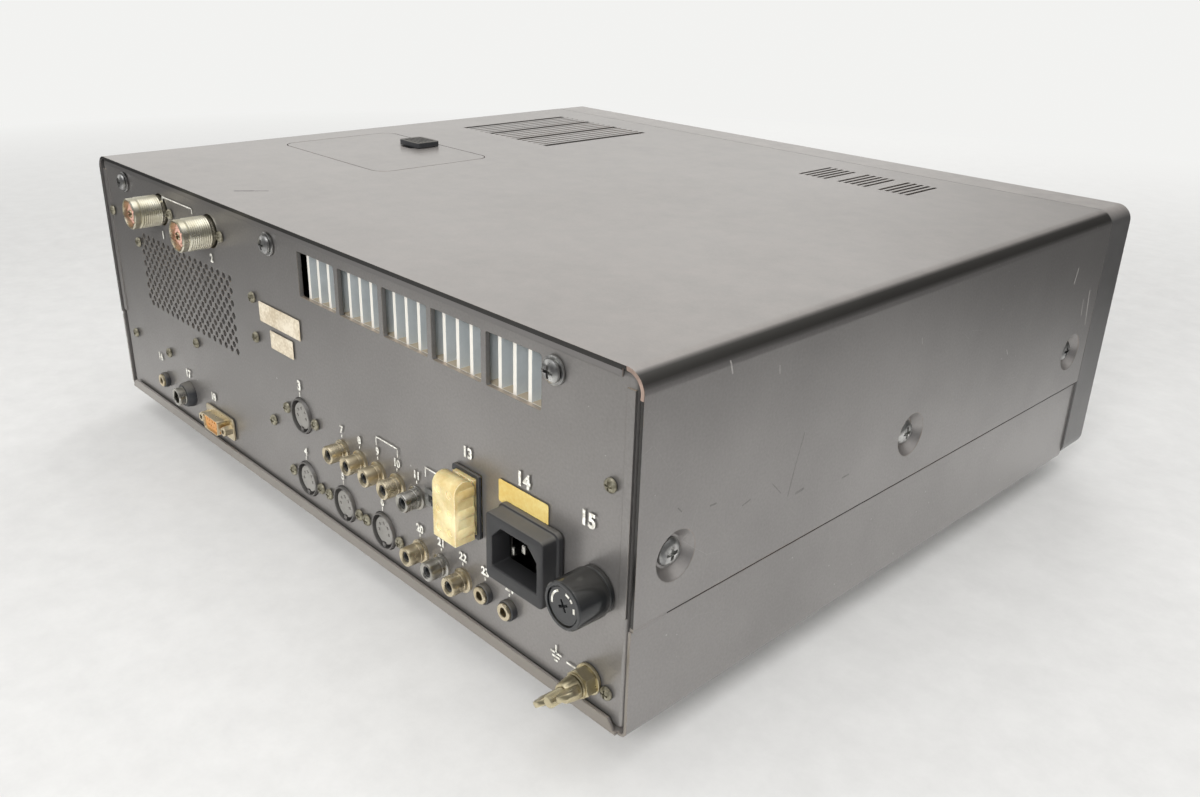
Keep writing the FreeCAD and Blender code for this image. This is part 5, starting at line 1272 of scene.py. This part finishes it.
class TRX_OT_front_sockets(bpy.types.Operator):
    """The eight-way microphone socket and the headphone jack with its hexagon nut"""

    bl_idname = "transceiver.front_sockets"
    bl_label = "Front Sockets"

    def execute(self, context):
        spot = spot_of("microphone_socket", PANEL_PLANE)
        shell = turned("microphone_shell", [(0, 10.3), (0.2, 10.5), (0.9, 10.5), (1.2, 10.2), (1.2, 8), (1.6, 7.7),
            (2.0, 8), (2.4, 7.7), (2.8, 8), (3.2, 7.7), (3.6, 8), (4, 7.7), (4.4, 8), (4.8, 7.7), (5.2, 8),
            (5.6, 7.9), (6, 7.5), (6, 6.9), (0.5, 6.8)], 56)
        fixed(seat(shell, spot, "front"), "socket_silver", "nickel", "microphone_socket")
        core = turned("microphone_core", [(0.4, 5.8), (2.0, 5.8), (2.4, 5.4), (2.4, 1)], 40)
        combine(core, block("key", (0, 5.6, 2), (2, 1.6, 3)))
        fixed(seat(core, spot, "front"), "dark_plastic", "dark_plastic")
        pin_circle = 3.9
        angles = [radians(90 + 25 + i * 310 / 6) for i in range(7)]
        pins = []
        for x, y in [(pin_circle * cos(angle), pin_circle * sin(angle)) for angle in angles] + [(0, 0)]:
            pins.append(seat(turned("pin", [(2, 0.6), (4.6, 0.6), (5, 0.3)], 12), mm(x, y, 0), "up"))
        fixed(seat(joined("microphone_pins", pins), spot, "front"), "jack_brass", "gold_plate")
        spot = spot_of("headphone_socket", PANEL_PLANE)
        nut = turned("headphone_nut", [(0, 7), (1.8, 7)], 6)
        combine(nut, turned("chamfer", [(-0.2, 7.4), (1.2, 7.2), (1.8, 6.2)], 48), "INTERSECT")
        neck = turned("neck", [(0, 4.5), (1.9, 4.5), (2, 4.2), (2, 3.5), (1.8, 3.25), (-14, 3.25)], 40)
        jack = joined("headphone_nut", [nut, neck])
        fixed(seat(jack, spot, "front"), "plated_steel", "nickel", "headphone_socket")
        return {"FINISHED"}


class TRX_OT_dials(bpy.types.Operator):
    """The meter's card, scale and needle, and the lit figures behind the smoked window"""

    bl_idname = "transceiver.dials"
    bl_label = "Meter and Display"

    def execute(self, context):
        low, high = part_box("meter_window")
        pivot = middle_of("meter_window").x, low.z + 6 * MM
        level = PANEL_PLANE + 8.9 * MM
        card = block("meter_card", (0, 0, 0), ((high.x - low.x) / MM - 0.6, (high.z - low.z) / MM - 0.6, 0.12), 1.5)
        fixed(seat(card, Vector((pivot[0], level, (low.z + high.z) / 2)), "front"), "dark_plastic", "dial_card")
        spot = Vector((pivot[0], level - 0.1 * MM, pivot[1]))
        scale_radius, figure_radius = 27, 31.6
        marks = [seat(arc(scale_radius, 0.35, 50, 80, 0, 0.04, 40), spot, "front")]
        for i in range(17):
            tall = 3.0 if i % 2 == 0 else 1.8
            tick = block("tick", (0, scale_radius + tall / 2, 0), (0.4, tall, 0.08), 0.1, 2)
            marks.append(seat(turn(tick, 40 - 5 * i), spot, "front"))
        for i, text in enumerate(("0", "1", "3", "5", "7", "9", "20", "40", "60")):
            angle = radians(130 - 10 * i)
            place = spot + mm(figure_radius * cos(angle), 0, figure_radius * sin(angle))
            marks.append(lettering("number", text, 2.0, place, "front"))
        fixed(joined("meter_scale", marks), "dark_plastic", "black_print")
        needle = block("needle_blade", (0, 15.5, 1.1), (1.0, 29, 0.5))
        edit(needle)
        choose(needle, "FACE", lambda place, normal: normal.y > STEEP)
        resize(0.35, 1, 0.6, centre=(0, 30 * MM, 1.1 * MM))
        leave()
        hub = turned("hub", [(0.1, 2.9), (1.2, 3), (1.6, 2.6), (1.6, 0.6)], 28)
        needle = joined("needle_blade", [soften(needle, 0.1), hub])
        seat(turn(needle, 40), Vector((pivot[0], PANEL_PLANE + 8.4 * MM, pivot[1])), "front")
        hand_over(needle, "meter_needle", "needle_red", "needle_red", "meter_needle")
        window = middle_of("display_window")
        behind = PANEL_PLANE + 5.2 * MM
        figures = [lettering("figure", "14.250.0", 13, Vector((window.x + 8 * MM, behind, window.z)), "front"),
            lettering("figure", "2", 8, Vector((window.x - 78 * MM, behind, window.z + 2 * MM)), "front")]
        figures += [bar(Vector((window.x + x * MM, behind, window.z - 11 * MM)), 6, 1, "front")
            for x in range(-60, 81, 20)]
        fixed(joined("display_figures", figures), "display_tube", "lit_figures")
        return {"FINISHED"}


class TRX_OT_front_marks(bpy.types.Operator):
    """Scales round the knobs and plain figures on the front panel"""

    bl_idname = "transceiver.front_marks"
    bl_label = "Front Marks"

    def execute(self, context):
        marks = []
        for node, radius in (("channel_knob", 19.5), ("clarifier_knob", 10.5), ("rf_gain_ring", 16.4),
                ("power_ring", 16.4)):
            spot = spot_of(node, PANEL_PLANE)
            for i in range(11):
                tick = block("tick", (0, radius + 0.8, 0.04), (0.5, 1.6, 0.08), 0.15, 2)
                marks.append(seat(turn(tick, 150 - 30 * i), spot, "front"))
            for i in (0, 5, 10):
                angle = radians(240 - 30 * i)
                place = spot + mm((radius + 3.6) * cos(angle), 0, (radius + 3.6) * sin(angle))
                marks.append(lettering("number", str(i), 2.2, place, "front"))
        for family, count, first, rise in (("mode", 5, 1, -8.4 * MM), ("function", 3, 6, 7.6 * MM)):
            for i in range(count):
                middle = middle_of(f"{family}_button_{i + 1}")
                place = Vector((middle.x, PANEL_PLANE, middle.z + rise))
                marks.append(lettering("number", str(i + first), 2.6, place, "front"))
        fixed(joined("front_print", marks), "front_paint", "white_print")
        return {"FINISHED"}


# ---------------------------------------------------------------- top, inside and underneath


class TRX_OT_hatch(bpy.types.Operator):
    """The ribbed latch of the hatch and the slotted preset knobs under it"""

    bl_idname = "transceiver.hatch"
    bl_label = "Hatch Latch and Presets"

    def execute(self, context):
        low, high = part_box("door_latch")
        spot = Vector(((low.x + high.x) / 2, (low.y + high.y) / 2, CASE_TOP))
        pad = block("latch_pad", (0, 0, 1.8), (19.8, 15.8, 2.9), 2, 4)
        for i in range(5):
            combine(pad, block("rib", (0, -5 + 2.5 * i, 3.5), (15, 1.1, 1.4), 0.3))
        soften(pad, 0.4, 3)
        under = block("keeper", (0, -0.2, -3.3), (15.8, 12.8, 1.9), 1)
        neck = block("neck", (0, 0, -1.2), (9.8, 9.8, 4))
        latch = joined("latch_pad", [pad, soften(under, 0.3), neck])
        hand_over(seat(latch, spot, "up"), "door_latch", "door_plastic", "dark_plastic", "door_latch")
        for i in (1, 2):
            node = f"preset_knob_{i}"
            low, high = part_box(node)
            spot = Vector(((low.x + high.x) / 2, (low.y + high.y) / 2, low.z))
            body = turned(node + "_body", [(0, 4.8), (0.3, 5), (7.4, 4.9), (8.2, 4.3), (8.6, 3.6), (8.6, 0.6)], 40)
            combine(body, block("slot", (0, 0, 8.4), (7.2, 1.2, 2.4)))
            hand_over(seat(body, spot, "up"), node, "knob_plastic", "nylon", node)
        return {"FINISHED"}


class TRX_OT_feet(bpy.types.Operator):
    """Four tapered rubber feet, each with a sunk screw"""

    bl_idname = "transceiver.feet"
    bl_label = "Feet"

    def execute(self, context):
        spots = [Vector(((a.x + b.x) / 2, (a.y + b.y) / 2, 0)) for a, b in solids("feet")]
        foot = turned("foot_pads", [(6, 4), (6, 5.2), (0.6, 5.6), (0, 6.2), (0, 11.6), (0.5, 12.3), (1.4, 12.7),
            (12.8, 14.8), (13.6, 14.6), (13.9, 14)], 48)
        fixed(laid_out(foot, spots, "up"), "foot_rubber", "rubber", "feet")
        screw = seat(turn(phillips("foot_screws", 3.6, 1.8), 180, "X"), Vector((0, 0, 5.9 * MM)), "up")
        fixed(laid_out(screw, spots, "up"), "screw_steel", "screw_steel")
        return {"FINISHED"}


# Finishes of the CAD nodes that are shown as they are.
METALWORK = {
    "case_paint": "top_cover bottom_cover",
    "door_paint": "access_door",
    "panel_paint": "rear_panel",
    "bezel_plastic": "front_bezel",
    "front_paint": "front_panel",
    "frame_steel": "chassis_frame control_well shaft_bushings",
    "smoked_glass": "display_window",
    "clear_glass": "meter_window",
    "display_tube": "display_module",
    "dark_plastic": "meter_case fan_frame fan_rotor",
    "aluminium": "heat_sink",
    "cone_paper_and_seam_shade": "speaker",
    "core_steel": "power_transformer",
    "circuit_board": "main_board",
    "nickel": "tilt_stand",
}


class TRX_OT_repaint(bpy.types.Operator):
    """Give the sheet metal, castings and inner parts that are shown as packed their finishes"""

    bl_idname = "transceiver.repaint"
    bl_label = "Finish the Metalwork"

    def execute(self, context):
        for material, nodes in METALWORK.items():
            for node in nodes.split():
                for each in frame["nodes"][node].material_slots:
                    each.material = FINISHES[material]
        return {"FINISHED"}


# ---------------------------------------------------------------- stage


def seen_by_lens(tree):
    """One for the rays that the lens sees straight, in a polished surface or through glass, zero for the rest."""
    path = put(tree, "LightPath")
    direct = times(tree, path.outputs["Is Camera Ray"], path.outputs["Is Glossy Ray"], "MAXIMUM")
    return times(tree, direct, path.outputs["Is Transmission Ray"], "MAXIMUM")


def swept_floor():
    """A floor that rises into two walls behind the set, with wide bends."""
    clear()
    bpy.ops.mesh.primitive_plane_add(size=FLOOR_SIZE, location=(0, 0, 0))
    floor = bpy.context.object
    floor.name = "floor"
    bpy.ops.object.mode_set(mode="EDIT")
    border = (FLOOR_SIZE / 2 - 0.1) / MM
    choose(floor, "EDGE", lambda place, along: place.y < -border)
    draw_out(WALL_HEIGHT)
    choose(floor, "EDGE", lambda place, along: place.x > border and abs(along.y) > STEEP)
    draw_out(WALL_HEIGHT)
    choose(floor, "EDGE", lambda place, along: place.z < 1 and (place.y < -border or place.x > border))
    bpy.ops.mesh.bevel(offset=BEND, segments=16, affect="EDGES")
    leave()
    bpy.ops.object.shade_smooth()
    return floor


def floor_paper(stage):
    """Pale paper: bright to the lens where it rises, and darker to other rays away from the set."""
    paper = bpy.data.materials.new("floor_paper")
    paper.use_nodes = True
    tree = paper.node_tree
    shader = tree.nodes["Principled BSDF"]
    place = put(tree, "TexCoord").outputs["Object"]
    cloud = noise(tree, place, 48.0, 9.0, 0.7)[0]
    seen = put(tree, "LightPath").outputs["Is Camera Ray"]
    unseen = times(tree, 1.0, seen, "SUBTRACT")
    span = put(tree, "VectorMath", {0: place}, operation="LENGTH").outputs["Value"]
    sheet = blend(tree, ramp(tree, cloud, 0.35, 0.65), shade(stage.floor, 0.97), shade(stage.floor, 1.04))
    unlit = times(tree, ramp(tree, span, 0.3, 0.66), unseen)
    tree.links.new(blend(tree, unlit, sheet, shade(stage.floor, stage.gloom)), shader.inputs["Base Color"])
    shader.inputs["Roughness"].default_value = 0.8
    shader.inputs["Specular IOR Level"].default_value = 0.2
    far = times(tree, seen, ramp(tree, span, 0.6, 1.3))
    height = part_of(tree, place)
    band = times(tree, ramp(tree, height, 0.1, 0.5), ramp(tree, height, 0.9, 2.5, 1.0, 0.6))
    across = part_of(tree, place, "X")
    wall = times(tree, times(tree, seen_by_lens(tree), band), ramp(tree, across, 0.2, 1.7))
    glow = put(tree, "Emission", {"Color": stage.backdrop, "Strength": 1.0})
    mixed = put(tree, "MixShader", {0: times(tree, far, wall, "MAXIMUM"), 1: shader.outputs[0], 2: glow.outputs[0]})
    tree.links.new(mixed.outputs[0], tree.nodes["Material Output"].inputs["Surface"])
    return paper


def lamp(name, power, size, place, mirrored=True):
    """A soft round lamp that looks at the middle of the floor."""
    bpy.ops.object.light_add(type="AREA", location=place)
    made = bpy.context.object
    made.visible_glossy = mirrored
    made.name = name
    made.data.energy, made.data.size, made.data.shape = power, size, "DISK"
    made.rotation_euler = (-Vector(place)).to_track_quat("-Z", "Y").to_euler()


class TRX_OT_stage(bpy.types.Operator):
    """A pale floor that sweeps up behind the set, soft lamps, a white sky and the camera"""

    bl_idname = "transceiver.stage"
    bl_label = "Stage"

    def execute(self, context):
        stage = context.scene.transceiver_stage
        floor = swept_floor()
        floor.data.materials.append(floor_paper(stage))
        lamp("key_lamp", stage.key, 1.8, (-0.1, 0.1, 1.7))
        lamp("fill_lamp", stage.fill, 1.4, (-0.9, 1.65, 0.8), mirrored=False)
        lamp("front_lamp", stage.front, 1.4, (0.9, -1.6, 0.8), mirrored=False)
        world = context.scene.world or bpy.data.worlds.new("sky")
        context.scene.world = world
        world.use_nodes = True
        tree = world.node_tree
        tree.nodes.clear()
        height = part_of(tree, put(tree, "TexCoord").outputs["Generated"])
        level = ramp(tree, height, 0.4, 0.85, stage.gloom, stage.sky)
        seen = put(tree, "LightPath").outputs["Is Camera Ray"]
        strength = put(tree, "Mix", {0: seen, 2: level, 3: 1.0}, data_type="FLOAT").outputs[0]
        sky = put(tree, "Background", {"Color": (1, 1, 1, 1), "Strength": strength})
        put(tree, "OutputWorld", {"Surface": sky.outputs[0]})
        bpy.ops.object.camera_add(location=stage.place)
        camera = bpy.context.object
        tilt, roll, heading = stage.turn
        camera.rotation_euler = (Matrix.Rotation(heading, 3, "Z") @ Matrix.Rotation(tilt, 3, "X")
            @ Matrix.Rotation(roll, 3, "Z")).to_euler()
        camera.data.sensor_width, camera.data.lens = SENSOR, stage.lens
        camera.data.clip_start, camera.data.clip_end = 0.01, 30
        context.scene.camera = camera
        context.scene.view_settings.view_transform = "Standard"
        return {"FINISHED"}


# ---------------------------------------------------------------- add-on


OPERATORS = (TRX_OT_repaint, TRX_OT_covers, TRX_OT_antenna_sockets, TRX_OT_phono_jacks, TRX_OT_small_jacks,
    TRX_OT_din_sockets, TRX_OT_data_socket, TRX_OT_power_inlet, TRX_OT_fuse, TRX_OT_earth, TRX_OT_supply,
    TRX_OT_slide_switch, TRX_OT_screws, TRX_OT_rear_marks, TRX_OT_tuning_knob, TRX_OT_small_knobs, TRX_OT_buttons,
    TRX_OT_front_sockets, TRX_OT_dials, TRX_OT_front_marks, TRX_OT_hatch, TRX_OT_feet, TRX_OT_stage)


class TRX_PT_looks(bpy.types.Panel):
    """The sidebar's list of pieces and sizes"""

    bl_idname = "TRX_PT_looks"
    bl_label = "Transceiver Looks"
    bl_space_type = "VIEW_3D"
    bl_region_type = "UI"
    bl_category = "Transceiver"

    def draw(self, context):
        scene = context.scene
        for group in (scene.transceiver_sizes, scene.transceiver_colours, scene.transceiver_stage):
            box = self.layout.box()
            for name in group.__annotations__:
                box.prop(group, name)
        for each in OPERATORS:
            self.layout.operator(each.bl_idname)


GROUPS = {"transceiver_sizes": TransceiverSizes, "transceiver_colours": TransceiverColours,
    "transceiver_stage": TransceiverStage}
CLASSES = (*GROUPS.values(), *OPERATORS, TRX_PT_looks)


def register():
    for each in CLASSES:
        bpy.utils.register_class(each)
    for name, kind in GROUPS.items():
        setattr(bpy.types.Scene, name, PointerProperty(type=kind))


def unregister():
    for name in GROUPS:
        delattr(bpy.types.Scene, name)
    for each in reversed(CLASSES):
        bpy.utils.unregister_class(each)


def main():
    register()
    make_finishes()
    for each in OPERATORS:
        family, name = each.bl_idname.split(".")
        if getattr(getattr(bpy.ops, family), name)() != {"FINISHED"}:
            raise RuntimeError(f"{each.bl_label} did not finish")


if __name__ == "__main__":
    main()
